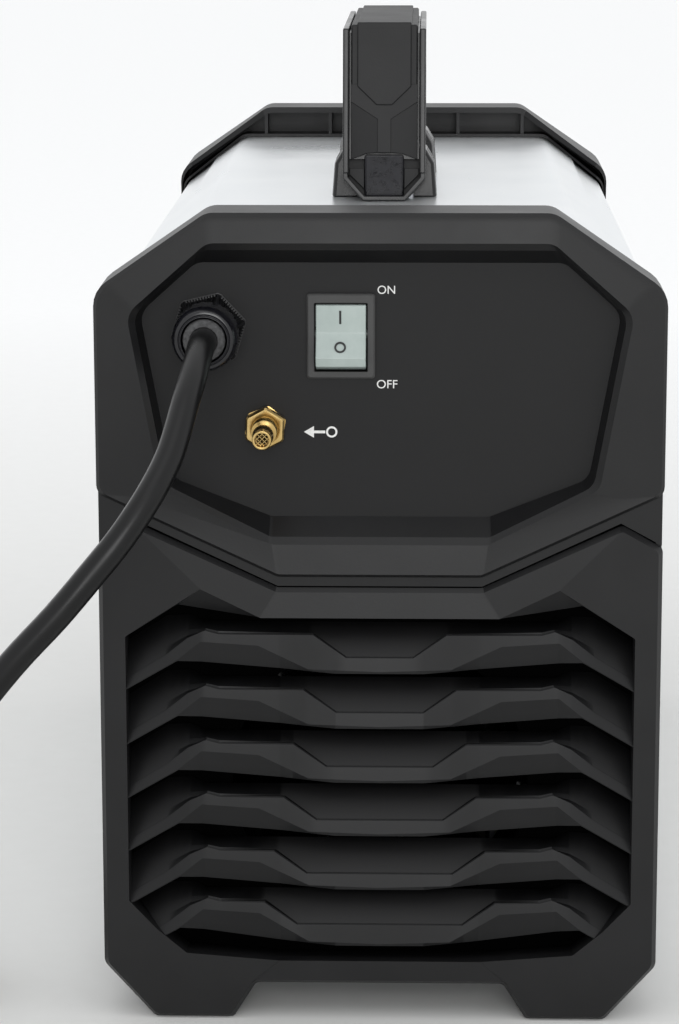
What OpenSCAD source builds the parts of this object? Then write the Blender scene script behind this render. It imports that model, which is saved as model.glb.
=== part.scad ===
// Plasma cutter unit: an air-cooled inverter in a folded sheet case with moulded end panels,
// a carrying handle, a louvred rear end, a control and socket end, and a mains cord.
// Millimetres. +Z is up, the rear end faces -Y, and the origin is on the floor under the middle.

/* [Case] */
// Width over the moulded end panels
body_w = 210; // [178:1:250]
// Length between the rim faces of the two end panels
body_l = 485; // [404:1:580]
// Height of the end panels above the floor
body_h = 308.5; // [262:0.5:365]
// Thickness of the moulded walls
wall = 2.8; // [2.2:0.1:3.4]
// Depth of each end panel's top over the cover
hood_d = 28; // [23:1:34]
// Width of the flat top of the end panels
hood_flat = 127; // [105:1:140]
// Height of the slanted top corners
hood_chamfer_h = 28.5; // [23:0.5:32]
// Height of the upper bezel in the middle
bezel_h_mid = 135.5; // [130:0.5:142]
// Height of the upper bezel at its sides
bezel_h_side = 104; // [98:0.5:108]
// Half width of the bezel's level lower edge
bezel_vee = 38; // [31:1:45]
// How much further the front hood reaches over the cover at its corners
front_sweep = 27; // [0:1:33]

/* [Sheet metal] */
// Thickness of the top and side sheets
sheet = 1; // [0.8:0.1:1.4]
// Thickness of the end plates, base pan and duct
plate_t = 1.5; // [1.2:0.1:2]
// How far the cover's top lies below the hoods
cover_drop = 15; // [13:0.5:17]
// Width of the cover's flat top
cover_flat = 149.4; // [135:0.2:155]
// Height of the cover's slanted edges
cover_chamfer_h = 19.9; // [17:0.1:23]
// Underside of the base pan above the floor
base_z = 16; // [14:0.5:20]

/* [Bezel recess] */
// Depth of the end plate behind the rim
recess_d = 11; // [9:0.5:13]
// Height of the rim band above the recess
rim_top = 10.6; // [9:0.2:12]
// Width of the rim beside the recess at its widest place
rim_side = 12.2; // [11:0.2:14]
// Height of the rim band under the recess
rim_bottom = 13.5; // [12:0.5:16]

/* [Louvres] */
// Number of louvre blades
louvre_n = 6; // [4:1:7]
// Thickness of a louvre blade
blade_t = 2; // [1.6:0.1:2.4]
// Width of the frame beside the louvres
stile = 10; // [8:0.5:12]

/* [Handle] */
// Place of the handle's middle along the case
handle_y = 5; // [-20:1:20]
// Length of the handle over its feet
handle_l = 151; // [126:1:181]
// Height of the handle above the cover
handle_h = 73; // [61:1:88]
// Width of the grip
handle_w = 35; // [29:1:42]
// Thickness of the grip bar
grip_t = 20; // [17:1:24]

/* [Rear fittings] */
// Width of the rocker switch bezel
switch_w = 25.2; // [24:0.2:30]
// Height of the rocker switch bezel
switch_h = 31.6; // [30:0.2:38]
// Angle that the rocker turns between on and off
rocker_throw = 24; // [18:1:26]
// Diameter of the gland's thread
gland_d = 20; // [17:0.5:24]
// Diameter of the mains cord
cord_d = 10; // [8.4:0.2:10.6]
// Outside diameter of the gas inlet tube
gas_tube_d = 6.5; // [5.4:0.1:7.8]
// Across the flats of the gas inlet hexagon
gas_hex = 14.6; // [13:0.2:17]

/* [Fan] */
// Side of the square fan frame
fan_size = 119; // [99:1:120]
// Depth of the fan
fan_d = 38; // [32:1:45]
// Number of fan blades
fan_blades = 7; // [5:1:9]

/* [Front fittings] */
// Diameter of the current knob
knob_d = 30; // [25:1:36]
// Diameter of the work lead socket
socket_d = 33; // [28:1:39]
// Pin diameter that the work lead socket takes
socket_bore = 13.2; // [11:0.2:15.8]
// Thread diameter of the torch connector
torch_d = 16; // [14:0.5:19]

/* [Hidden] */

$fn = 48;
slip = 0.2;        // gap round a piece that drops into its place
run_gap = 0.05;    // radial gap of a turning or sliding fit
half = body_w / 2;
yr = -body_l / 2;  // rim face of the rear end
yf = body_l / 2;   // rim face of the front end
plate_y = yr + recess_d;            // outer face of the rear plate
inner_y = plate_y + plate_t;        // inner face of the rear plate
corner_z = body_h - hood_chamfer_h;
side_z = body_h - bezel_h_side;
mid_z = body_h - bezel_h_mid;
cover_z = body_h - cover_drop;
cover_half = half - 2;
floor_z = base_z + plate_t;         // upper face of the base pan

// Outlines seen from the rear, as right halves from the top down
function both(right) = concat(right, [for (i = [len(right) - 1:-1:0]) [-right[i][0], right[i][1]]]);
hood_loop = both([[hood_flat / 2, body_h], [half, corner_z], [half, side_z], [bezel_vee, mid_z]]);
rim_loop = both([[hood_flat / 2 - 0.3, body_h - rim_top], [half - rim_side, corner_z - 8.5],
    [half - rim_side - 11.8, side_z + 2], [bezel_vee + 2.7, mid_z + rim_bottom]]);
pit_loop = both([[hood_flat / 2 + 4.2, body_h - rim_top - 8.6], [half - rim_side - 4.1, corner_z - 9.5],
    [half - rim_side - 15.1, side_z + 3.8], [bezel_vee + 2.5, mid_z + rim_bottom + 7.7]]);
cover_loop = both([[cover_flat / 2, cover_z], [cover_half, cover_z - cover_chamfer_h],
    [cover_half, base_z + 7], [cover_half - 6.3, base_z]]);
lap_z = cover_z - 0.45 * cover_chamfer_h;   // where the top sheet laps over the sides

// Louvred end below the bezel
louvre_top = mid_z - 22.8;
louvre_end = 26.2;
pitch = (louvre_top - louvre_end) / louvre_n;
open_half = half - stile;
foot_out = half - 19.3;
foot_in = half - 49.3;
belly_z = 13.9;
lower_loop = both([[bezel_vee, mid_z - slip], [half - 17, side_z - 9], [half, side_z - 19.5],
    [half, 21.5], [foot_out, 0], [foot_in, 0], [foot_in - 8.7, belly_z]]);

// Places of the rear fittings
gland_x = -(half - 41.6);
gland_z = body_h - 44.3;
switch_x = -14.5;
switch_z = body_h - 46.3;
gas_x = -42.6;
gas_z = body_h - 80.5;
gland_hex = gland_d + 4;
gland_nose = 15;    // how far the dome nut stands out past the rim face
hose_tip = 17;      // how far the gas tube stands out past the rim face
fan_z = 92;
fan_y = inner_y;

// Duct, sinks and boards, from the rear forwards
duct_half = half - 12.5;
duct_z = 164.5;
duct_y = fan_y + fan_d + 8;
duct_l = 200;
sink_y = duct_y + 6;
sink_l = 120;
sink_w = 64;
sink_x = 36;
sink_z = floor_z + 10;
sink_h = 48;
board_z = sink_z + sink_h + 13;
core_y = sink_y + sink_l + 12;

// Places of the front fittings
front_in = yf - recess_d - plate_t;     // inner face of the front plate
front_out = yf - recess_d;              // outer face of the front plate
knob_z = body_h - 81;
window_z = body_h - 49;
button_x = 44;
socket_x = 44;
socket_z = 82;
torch_x = -45;
socket_proud = 17;      // how far the sockets stand out past the front rim

// Cord, laid out by hand from the gland to the coil beside the case
cord_r = cord_d / 2;
cord_start = yr - gland_nose - 1.5;
coil_x = -240;
coil_y = -279;
coil_r = 64.5;
turn_step = cord_d + 0.6;
layer_turns = 2.25;
coil_z = cord_r + 1.2;
cord_route = [[gland_x, cord_start, gland_z], [gland_x, cord_start - 12, gland_z],
    [-64, -282, 261], [-65, -293, 256], [-67, -303, 249], [-69, -311, 241], [-72, -319, 232],
    [-78, -328, 221], [-87, -335, 208], [-97, -339, 196], [-109, -342, 182], [-124, -344, 166],
    [-138, -344, 148], [-150, -344, 127], [-161, -344, 104], [-171, -344, 80], [-180, -344, 58],
    [-190, -344, 38], [-202, -344, 22], [-216, -343.5, 11], [coil_x + 18, -343.5, coil_z],
    [coil_x + 10, -343.5, coil_z]];
plug_r = 18.5;
plug_x = coil_x + 24;
plug_l = 46;
plug_y = coil_y + coil_r;

// The coil winds in on the floor, climbs a layer in the half turn where it reverses, and winds out
function coil_point(t) =
    let (r = coil_r - turn_step * (layer_turns - abs(t - layer_turns)),
         lift = turn_step * min(1, max(0, (t - layer_turns + 0.25) / 0.5)),
         a = -90 - 360 * t)
    [coil_x + r * cos(a), coil_y + r * sin(a), coil_z + lift];
coil_rings = 24;
coil_path = concat([[coil_x + 10, coil_y - coil_r, coil_z]],
    [for (i = [0:2 * layer_turns * coil_rings]) coil_point(i / coil_rings)],
    [[coil_x + 7, plug_y, coil_z + turn_step + 0.8], [coil_x + 14, plug_y, plug_r],
     [plug_x, plug_y, plug_r]]);
coil_gap = min([for (i = [0:len(coil_path) - 1], j = [i + 12:1:len(coil_path) - 1])
    norm(coil_path[i] - coil_path[j])]) - cord_d;
echo(coil_gap = coil_gap);
function span(p) = [for (i = [1:len(p) - 1]) norm(p[i] - p[i - 1])];
function total(v, i = 0) = i >= len(v) ? 0 : v[i] + total(v, i + 1);
echo(cord_length = total(span(cord_route)) + total(span(coil_path)));

// ---- shared shapes ----

// A flat outline in X and Z, as a slab t deep from y0 forwards
module slab_y(y0, t) {
    translate([0, y0 + t, 0]) rotate([90, 0, 0]) linear_extrude(t) children();
}

// A flat outline in Y and Z, as a slab t wide from x0 to the right
module slab_x(x0, t) {
    translate([x0, 0, 0]) rotate([90, 0, 90]) linear_extrude(t) children();
}

// A round bar along Y
module bar_y(x, y0, z, r, l) {
    translate([x, y0 + l, z]) rotate([90, 0, 0]) cylinder(r = r, h = l);
}

// A hexagon bar along Y with points up
module hex_y(x, y0, z, flats, l) {
    translate([x, y0 + l, z]) rotate([90, 0, 0]) rotate([0, 0, 30])
        cylinder(r = flats / sqrt(3), h = l, $fn = 6);
}

// A solid between two outlines of as many points, from y0 to y1
module taper_y(a, y0, b, y1) {
    n = len(a);
    pts = concat([for (p = a) [p[0], y0, p[1]]], [for (p = b) [p[0], y1, p[1]]]);
    polyhedron(points = pts, faces = concat([[for (i = [0:n - 1]) i]],
        [[for (i = [n - 1:-1:0]) n + i]],
        [for (i = [0:n - 1]) [i, n + i, n + (i + 1) % n, (i + 1) % n]]));
}

// A round tube swept along points, its rings turned as little as the path allows
function unit(v) = v / norm(v);
function heading(p, i) = unit(p[min(i + 1, len(p) - 1)] - p[max(i - 1, 0)]);
function squared(u, t) = unit(u - (u * t) * t);
module swept(path, r, sides) {
    n = len(path);
    first = heading(path, 0);
    start = squared(abs(first[2]) > 0.9 ? [1, 0, 0] : [0, 0, 1], first);
    ups = [for (i = 0, u = start; i < n; i = i + 1, u = i < n ? squared(u, heading(path, i)) : u) u];
    pts = [for (i = [0:n - 1], k = [0:sides - 1])
        let (t = heading(path, i), a = 360 * (k + 0.5) / sides)
        path[i] + r * (cos(a) * ups[i] + sin(a) * cross(t, ups[i]))];
    polyhedron(points = pts, faces = concat(
        [for (k = [1:sides - 2]) [0, k, k + 1]],
        [for (k = [1:sides - 2]) [(n - 1) * sides, (n - 1) * sides + k + 1, (n - 1) * sides + k]],
        [for (i = [0:n - 2], k = [0:sides - 1])
            [i * sides + k, (i + 1) * sides + k, i * sides + (k + 1) % sides]],
        [for (i = [0:n - 2], k = [0:sides - 1])
            [i * sides + (k + 1) % sides, (i + 1) * sides + k, (i + 1) * sides + (k + 1) % sides]]));
}

// A pan-head screw along +Y: the head's top at y0, the shank reaching l past the head
module screw_y(x, y0, z, r, l) {
    bar_y(x, y0, z, 2 * r, 1.2 * r);
    bar_y(x, y0 + 1.2 * r, z, r, l);
}

// ---- moulded end panels ----

boss_places = [[half - 9, corner_z - 20], [half - 10, side_z + 14]];
foot_boss = [[half - 7.2, louvre_top - 12], [half - 7.2, louvre_end + 24]];

// Upper bezel at the rear end. sweep lengthens its skirt at the corners
module bezel(sweep) {
    depth = hood_d + sweep;
    difference() {
        intersection() {
            slab_y(yr, depth) polygon(hood_loop);
            slab_x(-body_w, 2 * body_w) polygon([[yr - 1, 0], [yr - 1, body_h + 1],
                [yr + hood_d, body_h + 1], [yr + hood_d, body_h], [yr + depth, corner_z],
                [yr + hood_d + sweep / 2, side_z], [yr + hood_d, mid_z], [yr + hood_d, 0]]);
        }
        taper_y(rim_loop, yr - 0.01, pit_loop, plate_y + 0.01);
        // room for the end plate and the cover's edge
        slab_y(plate_y, depth) offset(delta = slip) polygon(cover_loop);
        // hollow ring behind the rim
        slab_y(yr + wall, recess_d) difference() {
            offset(delta = -wall) polygon(hood_loop);
            offset(delta = 2.2) polygon(rim_loop);
        }
        // hollow over the cover, parted by ribs
        slab_y(plate_y + wall, depth) difference() {
            offset(delta = -wall) polygon(hood_loop);
            offset(delta = 1.7) polygon(cover_loop);
            for (x = [-1, 1] * hood_flat / 2, k = [0, 1])
                translate([x * (k + 1) / 2 - 0.7, cover_z - 30]) square([1.4, 60]);
        }
        for (s = [-1, 1], p = boss_places) bar_y(s * p[0], yr + wall, p[1], 1.5, recess_d);
    }
    for (s = [-1, 1], p = boss_places) difference() {
        bar_y(s * p[0], yr + wall - 0.5, p[1], 3.6, recess_d - wall + 0.5);
        bar_y(s * p[0], yr + wall + 0.5, p[1], 1.5, recess_d);
    }
}

// Frame, side skirts and feet below the bezel
module lower_frame() {
    skirt = half - cover_half - slip;
    difference() {
        slab_y(yr, recess_d) polygon(lower_loop);
        for (s = [-1, 1], p = foot_boss) bar_y(s * p[0], yr + wall, p[1], 1.5, recess_d);
        children();
    }
    for (s = [-1, 1]) {
        slab_y(plate_y - 0.5, hood_d - recess_d + 0.5) translate([s * (half - skirt / 2) - skirt / 2, 21.5])
            square([skirt, side_z - 19.5 - 21.5]);
        difference() {
            slab_y(plate_y - 0.5, hood_d - recess_d + 0.5) polygon([[s * half, 21.5], [s * foot_out, 0],
                [s * foot_in, 0], [s * (foot_in - 8.7), belly_z], [s * (foot_out + 8.8), belly_z],
                [s * (half - skirt), 23], [s * half, 23]]);
            slab_y(plate_y, hood_d) polygon([[s * (foot_out + 7.3), belly_z + 1],
                [s * (foot_out - 1), wall], [s * (foot_in + 1.5), wall],
                [s * (foot_in - 5.5), belly_z + 1]]);
        }
    }
}

// Outline of the louvre opening in the front face of the grille
louvre_gap = both([[44.5, louvre_top + 7.8], [half - 38.2, louvre_top + 19.2], [open_half, louvre_top],
    [open_half, louvre_end + pitch], [half - 19.5, louvre_end + 0.5 * pitch], [half - 31.5, louvre_end],
    [bezel_vee, louvre_end - 3]]);

// Front lip of blade k, stepped down in the middle. u is measured in louvre pitches
function lip_half(k, z) = let (u = pitch / 20.7, n = 3.75 * k)
    [[12.5 + n, z - 7.8 * u], [24.8 + n, z + 1.1 * u], [half - 45, z + 1.5 * u],
     [half - 40, z + 3.5 * u], [open_half + 1, z - 17.2 * u], [open_half + 1, z - 21.2 * u],
     [half - 29.3, z - 9.3 * u], [half - 67.8, z - 12.5 * u], [16, z - 14 * u]];

module rear_bezel() {
    color("#2b2b2c") bezel(0);
}

module rear_grille() {
    color("#252526") {
        lower_frame() slab_y(yr - 1, recess_d + 2) polygon(louvre_gap);
        for (k = [0:louvre_n - 1]) {
            z = louvre_top - k * pitch;
            u = pitch / 20.7;
            slab_y(yr + 0.3, wall) polygon(both(lip_half(k, z)));
            intersection() {
                slab_x(-open_half - 2, 2 * open_half + 4) polygon([[yr + 1.5, z - 13.5 * u],
                    [yr + 1.5, z - 8 * u], [yr + recess_d - 0.5, z + 3.5 * u],
                    [yr + recess_d - 0.5, z + 3.5 * u - 2 * blade_t]]);
                slab_y(yr, recess_d) offset(delta = 1) polygon(louvre_gap);
            }
        }
        // upright ribs behind the blades
        for (x = [-0.52, 0, 0.52] * half)
            translate([x - 1, yr + 5, louvre_end - 4]) cube([2, recess_d - 5.5, louvre_top - louvre_end + 13]);
    }
}

// A steel end plate, with its outer face at y0, less whatever holes follow
module end_plate(y0) {
    difference() {
        slab_y(y0, plate_t) offset(delta = -sheet - slip) polygon(cover_loop);
        for (s = [-1, 1], p = concat(boss_places, foot_boss))
            bar_y(s * p[0], y0 - 1, p[1], 1.9, plate_t + 2);
        children();
    }
}

module rear_plate() {
    color("#1d1d1e") end_plate(plate_y) {
        bar_y(gland_x, plate_y - 1, gland_z, gland_d / 2 + slip, plate_t + 2);
        bar_y(gas_x, plate_y - 1, gas_z, 5.1, plate_t + 2);
        translate([switch_x - switch_w / 2 + 1.5, plate_y - 1, switch_z - switch_h / 2 + 1.7])
            cube([switch_w - 3, plate_t + 2, switch_h - 3.4]);
        bar_y(0, plate_y - 1, fan_z, fan_size / 2 - 3, plate_t + 2);
        for (sx = [-1, 1], sz = [-1, 1]) bar_y(sx * fan_bolt, plate_y - 1, fan_z + sz * fan_bolt, 2.2, plate_t + 2);
    }
}

module front_bezel() {
    color("#2b2b2c") mirror([0, 1, 0]) bezel(front_sweep);
}

// Opening round the sockets in the front surround
surround_gap = both([[half - 45, mid_z - 24], [open_half - 4, mid_z - 42], [open_half - 4, 44],
    [half - 32, 27]]);
surround_pit = both([[half - 47, mid_z - 30], [open_half - 9, mid_z - 45], [open_half - 9, 47],
    [half - 34, 33]]);

module front_surround() {
    color("#252526") mirror([0, 1, 0])
        lower_frame() taper_y(surround_gap, yr - 0.01, surround_pit, plate_y + 0.01);
}

module front_plate() {
    color("#1d1d1e") end_plate(front_in) {
        bar_y(0, front_in - 1, knob_z, 5, plate_t + 2);
        translate([-window_w / 2 + 1, front_in - 1, window_z - window_h / 2 + 1])
            cube([window_w - 2, plate_t + 2, window_h - 2]);
        for (s = [-1, 1]) bar_y(s * button_x, front_in - 1, knob_z, button_r + slip, plate_t + 2);
        for (k = [-1:1]) bar_y(lamp_x, front_in - 1, window_z + k * 8, lamp_r + run_gap, plate_t + 2);
        bar_y(socket_x, front_in - 1, socket_z, 8.2, plate_t + 2);
        bar_y(torch_x, front_in - 1, socket_z, 8.2, plate_t + 2);
        bar_y(0, front_in - 1, socket_z + 32, 8.2, plate_t + 2);
    }
}

// ---- sheet case ----

screw_rows = [for (k = [0:3]) yr + 60 + k * (body_l - 120) / 3];
side_screw_z = floor_z + 12;
handle_bolts = [for (sx = [-1, 1], sy = [-1, 1]) [sx * 9, handle_y + sy * (handle_l / 2 - 16)]];

module top_cover() {
    color("#c9ccce") difference() {
        slab_y(inner_y + 0.5, body_l - 2 * recess_d - 2 * plate_t - 1) intersection() {
            difference() {
                polygon(cover_loop);
                offset(delta = -sheet) polygon(cover_loop);
            }
            translate([-body_w, lap_z]) square([2 * body_w, body_h]);
        }
        for (p = handle_bolts) translate([p[0], p[1], cover_z - 5]) cylinder(r = 2.7, h = 10);
    }
}

// One side sheet, its upper flange under the top sheet and its lower edge over the base pan
module side_sheet(s) {
    difference() {
        slab_y(inner_y + 0.5, body_l - 2 * recess_d - 2 * plate_t - 1) intersection() {
            difference() {
                offset(delta = -sheet) polygon(cover_loop);
                offset(delta = -2 * sheet) polygon(cover_loop);
            }
            translate([s > 0 ? cover_flat / 2 + 2 : -body_w, base_z + 8.2])
                square([body_w - cover_flat / 2 - 2, body_h]);
        }
        for (y = screw_rows) translate([s * (cover_half - 5), y, side_screw_z])
            rotate([0, s * 90, 0]) cylinder(r = 2.2, h = 10);
    }
}

module left_side() {
    color("#c4c7ca") side_sheet(-1);
}

module right_side() {
    color("#c4c7ca") side_sheet(1);
}

pan_half = cover_half - 2 * sheet - slip;

module base_pan() {
    color("#8f9396") difference() {
        slab_y(inner_y, body_l - 2 * recess_d - 2 * plate_t) difference() {
            polygon(both([[pan_half, base_z + 26], [pan_half, base_z + 7], [pan_half - 6.3, base_z]]));
            polygon(both([[pan_half - plate_t, base_z + 27], [pan_half - plate_t, base_z + 7.6],
                [pan_half - 6.9, floor_z]]));
        }
        for (s = [-1, 1], y = screw_rows) translate([s * (pan_half - 5), y, side_screw_z])
            rotate([0, s * 90, 0]) cylinder(r = 2 + run_gap, h = 10);
    }
}

module side_screws() {
    color("#2a2b2c") for (s = [-1, 1], y = screw_rows)
        translate([s * (cover_half - sheet), y, side_screw_z]) rotate([0, -s * 90, 0]) {
            translate([0, 0, -2.2]) cylinder(r = 4, h = 2.2);
            cylinder(r = 2, h = 9);
        }
}

// Self-tapping screws that hold the four end mouldings to the end plates from inside
module end_screws() {
    color("#b9bbbd") for (m = [0, 1]) mirror([0, m, 0])
        for (s = [-1, 1], p = concat(boss_places, foot_boss)) {
            bar_y(s * p[0], inner_y, p[1], 3, 2);
            bar_y(s * p[0], inner_y - plate_t - 7, p[1], 1.45, plate_t + 7);
        }
}

// ---- handle ----

post_t = 24;    // thickness of a handle post at its foot
lean = 10.5;    // how far each post leans in from foot to top
foot_h = 14;
gloss_h = 17;

// Side outline of the handle's arch, drawn inwards by d from its outer face
function arch(d) = [[-handle_l / 2 + d, 0], [-handle_l / 2 + lean + d, handle_h - d],
    [handle_l / 2 - lean - d, handle_h - d], [handle_l / 2 - d, 0]];
grip_gap = [[-handle_l / 2 + post_t, -1], [-handle_l / 2 + post_t + lean - 3, handle_h - grip_t],
    [handle_l / 2 - post_t - lean + 3, handle_h - grip_t], [handle_l / 2 - post_t, -1]];

module handle_frame() {
    rail = 3.4;
    color("#1f1f20") translate([0, handle_y, cover_z]) difference() {
        union() {
            for (s = [-1, 1]) slab_x(s * (handle_w - rail) / 2 - rail / 2, rail) difference() {
                polygon(arch(0));
                polygon(grip_gap);
            }
            slab_x(-handle_w / 2 + 1, handle_w - 2) difference() {
                polygon(arch(4));
                polygon(grip_gap);
            }
            // wide pedestals behind each post's lower end
            for (s = [-1, 1]) translate([0, s * (handle_l / 2 - 31), 0]) rotate([90, 0, 0])
                translate([0, 0, -14.5]) linear_extrude(29)
                    polygon([[-22, 0], [-21, foot_h], [-17, foot_h + 6], [17, foot_h + 6], [21, foot_h], [22, 0]]);
        }
        slab_x(-handle_w, 2 * handle_w) polygon([[-handle_l / 2 + post_t + 21, -1],
            [-handle_l / 2 + post_t + lean - 3, foot_h + 20], [handle_l / 2 - post_t - lean + 3, foot_h + 20],
            [handle_l / 2 - post_t - 21, -1]]);
        for (p = handle_bolts) translate([p[0], p[1] - handle_y, -1]) cylinder(r = 2.5, h = 15);
    }
}

// Grip cover let in between the side rails, over both posts and the bar
module handle_shell() {
    inner = handle_w / 2 - 3.4 - run_gap;
    color("#29292a") translate([0, handle_y, cover_z]) slab_x(-inner, 2 * inner) difference() {
        polygon(arch(0.2));
        polygon(arch(4));
        translate([-handle_l, -1]) square([2 * handle_l, gloss_h + 2]);
    }
}

// Gloss blocks in the pocket at the foot of each post
module handle_blocks() {
    color("#3a3b3f") translate([0, handle_y, cover_z]) slab_x(-8, 16) difference() {
        polygon(arch(0.8));
        polygon(arch(4));
        translate([-handle_l, gloss_h]) square([2 * handle_l, handle_h]);
        translate([-handle_l, -1]) square([2 * handle_l, 2.5]);
    }
}

module handle_screws() {
    color("#b9bbbd") for (p = handle_bolts) translate([p[0], p[1], cover_z - sheet]) {
        translate([0, 0, -3]) cylinder(r = 4.6, h = 3);
        cylinder(r = 2.45, h = 12);
    }
}

// ---- mains entry ----

// Hexagon flange outside the rear plate, thread through it
module gland_body() {
    color("#161617") difference() {
        union() {
            hex_y(gland_x, plate_y - 5, gland_z, gland_hex, 5);
            bar_y(gland_x, plate_y - 12, gland_z, gland_d / 2, 12 + plate_t + 9);
        }
        bar_y(gland_x, plate_y - 13, gland_z, cord_r + 1.4, 40);
    }
}

module gland_locknut() {
    color("#161617") difference() {
        hex_y(gland_x, inner_y, gland_z, gland_hex, 5);
        bar_y(gland_x, inner_y - 1, gland_z, gland_d / 2 + run_gap, 8);
    }
}

module gland_dome_nut() {
    front = yr - gland_nose;
    r = gland_hex / 2;
    color("#161617") translate([gland_x, front, gland_z]) rotate([-90, 0, 0]) rotate_extrude()
        polygon([[cord_r + 1.6, 0.8], [r - 3, 0], [r - 1, 0.8], [r, 3.5], [r, plate_y - 5 - front],
            [gland_d / 2 + run_gap, plate_y - 5 - front], [gland_d / 2 + run_gap, 11], [cord_r + 1.6, 9]]);
}

// Clamping rubber, its nose standing out round the cord
module gland_seal() {
    front = yr - gland_nose - 1.5;
    color("#202021") translate([gland_x, front, gland_z]) rotate([-90, 0, 0]) rotate_extrude()
        polygon([[cord_r + run_gap, 0], [cord_r + 1, 0], [cord_r + 1.5, 2], [cord_r + 1.5, 10.5],
            [cord_r + 4, 13.5], [cord_r + 4, plate_y - 12 - front], [cord_r + run_gap, plate_y - 12 - front]]);
}

// The cord's sheath inside the gland, up to where its cores part
module cable_tail() {
    color("#1b1b1c") bar_y(gland_x, cord_start, gland_z, cord_r, inner_y + 22 - cord_start);
}

module power_cord() {
    color("#1b1b1c") swept(cord_route, cord_r, 10);
}

module cord_coil() {
    color("#1b1b1c") swept(coil_path, cord_r, 6);
}

// Strap round the coil's turns on the side away from the case
module cord_tie() {
    lo = coil_r - turn_step * layer_turns - cord_r - 0.8;
    hi = coil_r + cord_r;
    top = coil_z + turn_step + cord_r + 0.6;
    color("#303133") translate([coil_x, coil_y - 6, 0]) mirror([1, 0, 0]) slab_y(0, 12) difference() {
        translate([lo - 1, 0]) square([hi - lo + 2, top + 1]);
        translate([lo, 1]) square([hi - lo, top - 1]);
    }
}

module plug_body() {
    color("#1e1e1f") translate([plug_x, plug_y, plug_r]) rotate([0, 90, 0]) rotate_extrude()
        polygon([[0, 0], [8, 0], [9, 9], [15, 15], [plug_r, 21], [plug_r, plug_l - 7], [plug_r - 1.5, plug_l - 5],
            [plug_r - 1.5, plug_l], [0, plug_l]]);
}

module plug_pins() {
    color("#c8b778") for (s = [-1, 1]) translate([plug_x + plug_l, plug_y + s * 9.5, plug_r])
        rotate([0, 90, 0]) {
            cylinder(r = 2.4, h = 17.5);
            translate([0, 0, 17.5]) cylinder(r1 = 2.4, r2 = 1.2, h = 1.5);
        }
}

// Cores from the cable's end to the switch, and the earth core to its stud on the rear plate
module supply_wires() {
    y0 = inner_y + 22;
    color("#6b3b22") {
        for (s = [-1, 1]) swept([[gland_x + 2.4 * s, y0, gland_z], [gland_x + 2.4 * s, y0 + 6, gland_z],
            [gland_x + 3 + 3 * s, y0 + 18, gland_z + 3 * s], [gland_x + 14 + 3 * s, y0 + 25, switch_z + 8 * s],
            [switch_x - 16, y0 + 24, switch_z + 8 * s], [switch_x - 8, y0 + 19, switch_z + 8 * s],
            [switch_x - 5, blade_end + 4, switch_z + 8 * s],
            [switch_x - 5, blade_end, switch_z + 8 * s]], 1.5, 8);
        swept([[gland_x, y0, gland_z - 3.2], [gland_x, y0 + 5, gland_z - 3.2], [gland_x - 4, y0 + 8, gland_z - 12],
            [gland_x - 7, y0 + 2, gland_z - 26], [gland_x - 7, inner_y + 12, gland_z - 32],
            [gland_x - 7, inner_y + 4, gland_z - 32]], 1.5, 8);
        translate([gland_x - 7, inner_y + 4, gland_z - 32]) rotate([90, 0, 0]) cylinder(r = 4, h = 4);
    }
}

// ---- rocker switch ----

pivot_in = 6;        // the rocker's pivot behind the switch's face
rocker_half = 12.2;
rocker_w = switch_w - 5.8;
well_half = rocker_half + 0.4;
switch_face = plate_y - 2;
pivot_y = switch_face + pivot_in;
switch_deep = 24;
blade_end = plate_y + switch_deep + 9;

module switch_housing() {
    color("#18191a") difference() {
        union() {
            translate([switch_x - switch_w / 2, switch_face, switch_z - switch_h / 2])
                cube([switch_w, 2, switch_h]);
            translate([switch_x - switch_w / 2 + 1.6, plate_y, switch_z - switch_h / 2 + 1.8])
                cube([switch_w - 3.2, switch_deep, switch_h - 3.6]);
        }
        translate([switch_x - rocker_w / 2 - 0.25, switch_face - 1, switch_z - well_half])
            cube([rocker_w + 0.5, pivot_in + 9, 2 * well_half]);
        translate([switch_x - switch_w, pivot_y, switch_z]) rotate([0, 90, 0])
            cylinder(r = 1.5 + run_gap, h = 2 * switch_w);
    }
}

// Reflection of a point of one rocker half onto the other
function other_half(p) = [p[0] * cos(rocker_throw) + p[1] * sin(rocker_throw),
    p[0] * sin(rocker_throw) - p[1] * cos(rocker_throw)];

// At rest it is on: the upper half lies flush and the lower half stands out
module switch_rocker() {
    flush = [pivot_in + 0.3, rocker_half];
    back = [-2, rocker_half];
    crease = [flush[0], flush[0] * tan(rocker_throw / 2)];
    outline = [back, flush, crease, other_half(flush), other_half(back), [-3, -3], [-3.6, 2]];
    color("#97a09f") {
        slab_x(switch_x - rocker_w / 2, rocker_w)
            polygon([for (p = outline) [pivot_y - p[0], switch_z + p[1]]]);
        translate([switch_x - switch_w / 2 + 1.8, pivot_y, switch_z]) rotate([0, 90, 0])
            cylinder(r = 1.5, h = switch_w - 3.6);
    }
}

module switch_blades() {
    color("#c9b060") for (s = [-1, 1], t = [-1, 1])
        translate([switch_x + s * 5 - 3.15, plate_y + switch_deep, switch_z + t * 8 - 0.4])
            cube([6.3, 9, 0.8]);
}

// ---- gas path ----

valve_y = inner_y + 12;
valve_w = 28;

// Push-on tube with its collar and thread, screwed through the plate into the valve
module gas_inlet() {
    r = gas_tube_d / 2;
    tip = yr - hose_tip;
    color("#c9a24a") translate([gas_x, tip, gas_z]) rotate([-90, 0, 0]) rotate_extrude()
        polygon([[2.1, 0], [r - 0.3, 0], [r, 0.5], [r, 8], [r + 0.7, 9], [r, 12], [r, 17],
            [5, 17], [5, 19], [4.9, 19], [4.9, valve_y + 8 - tip], [2.1, valve_y + 8 - tip]]);
}

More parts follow.
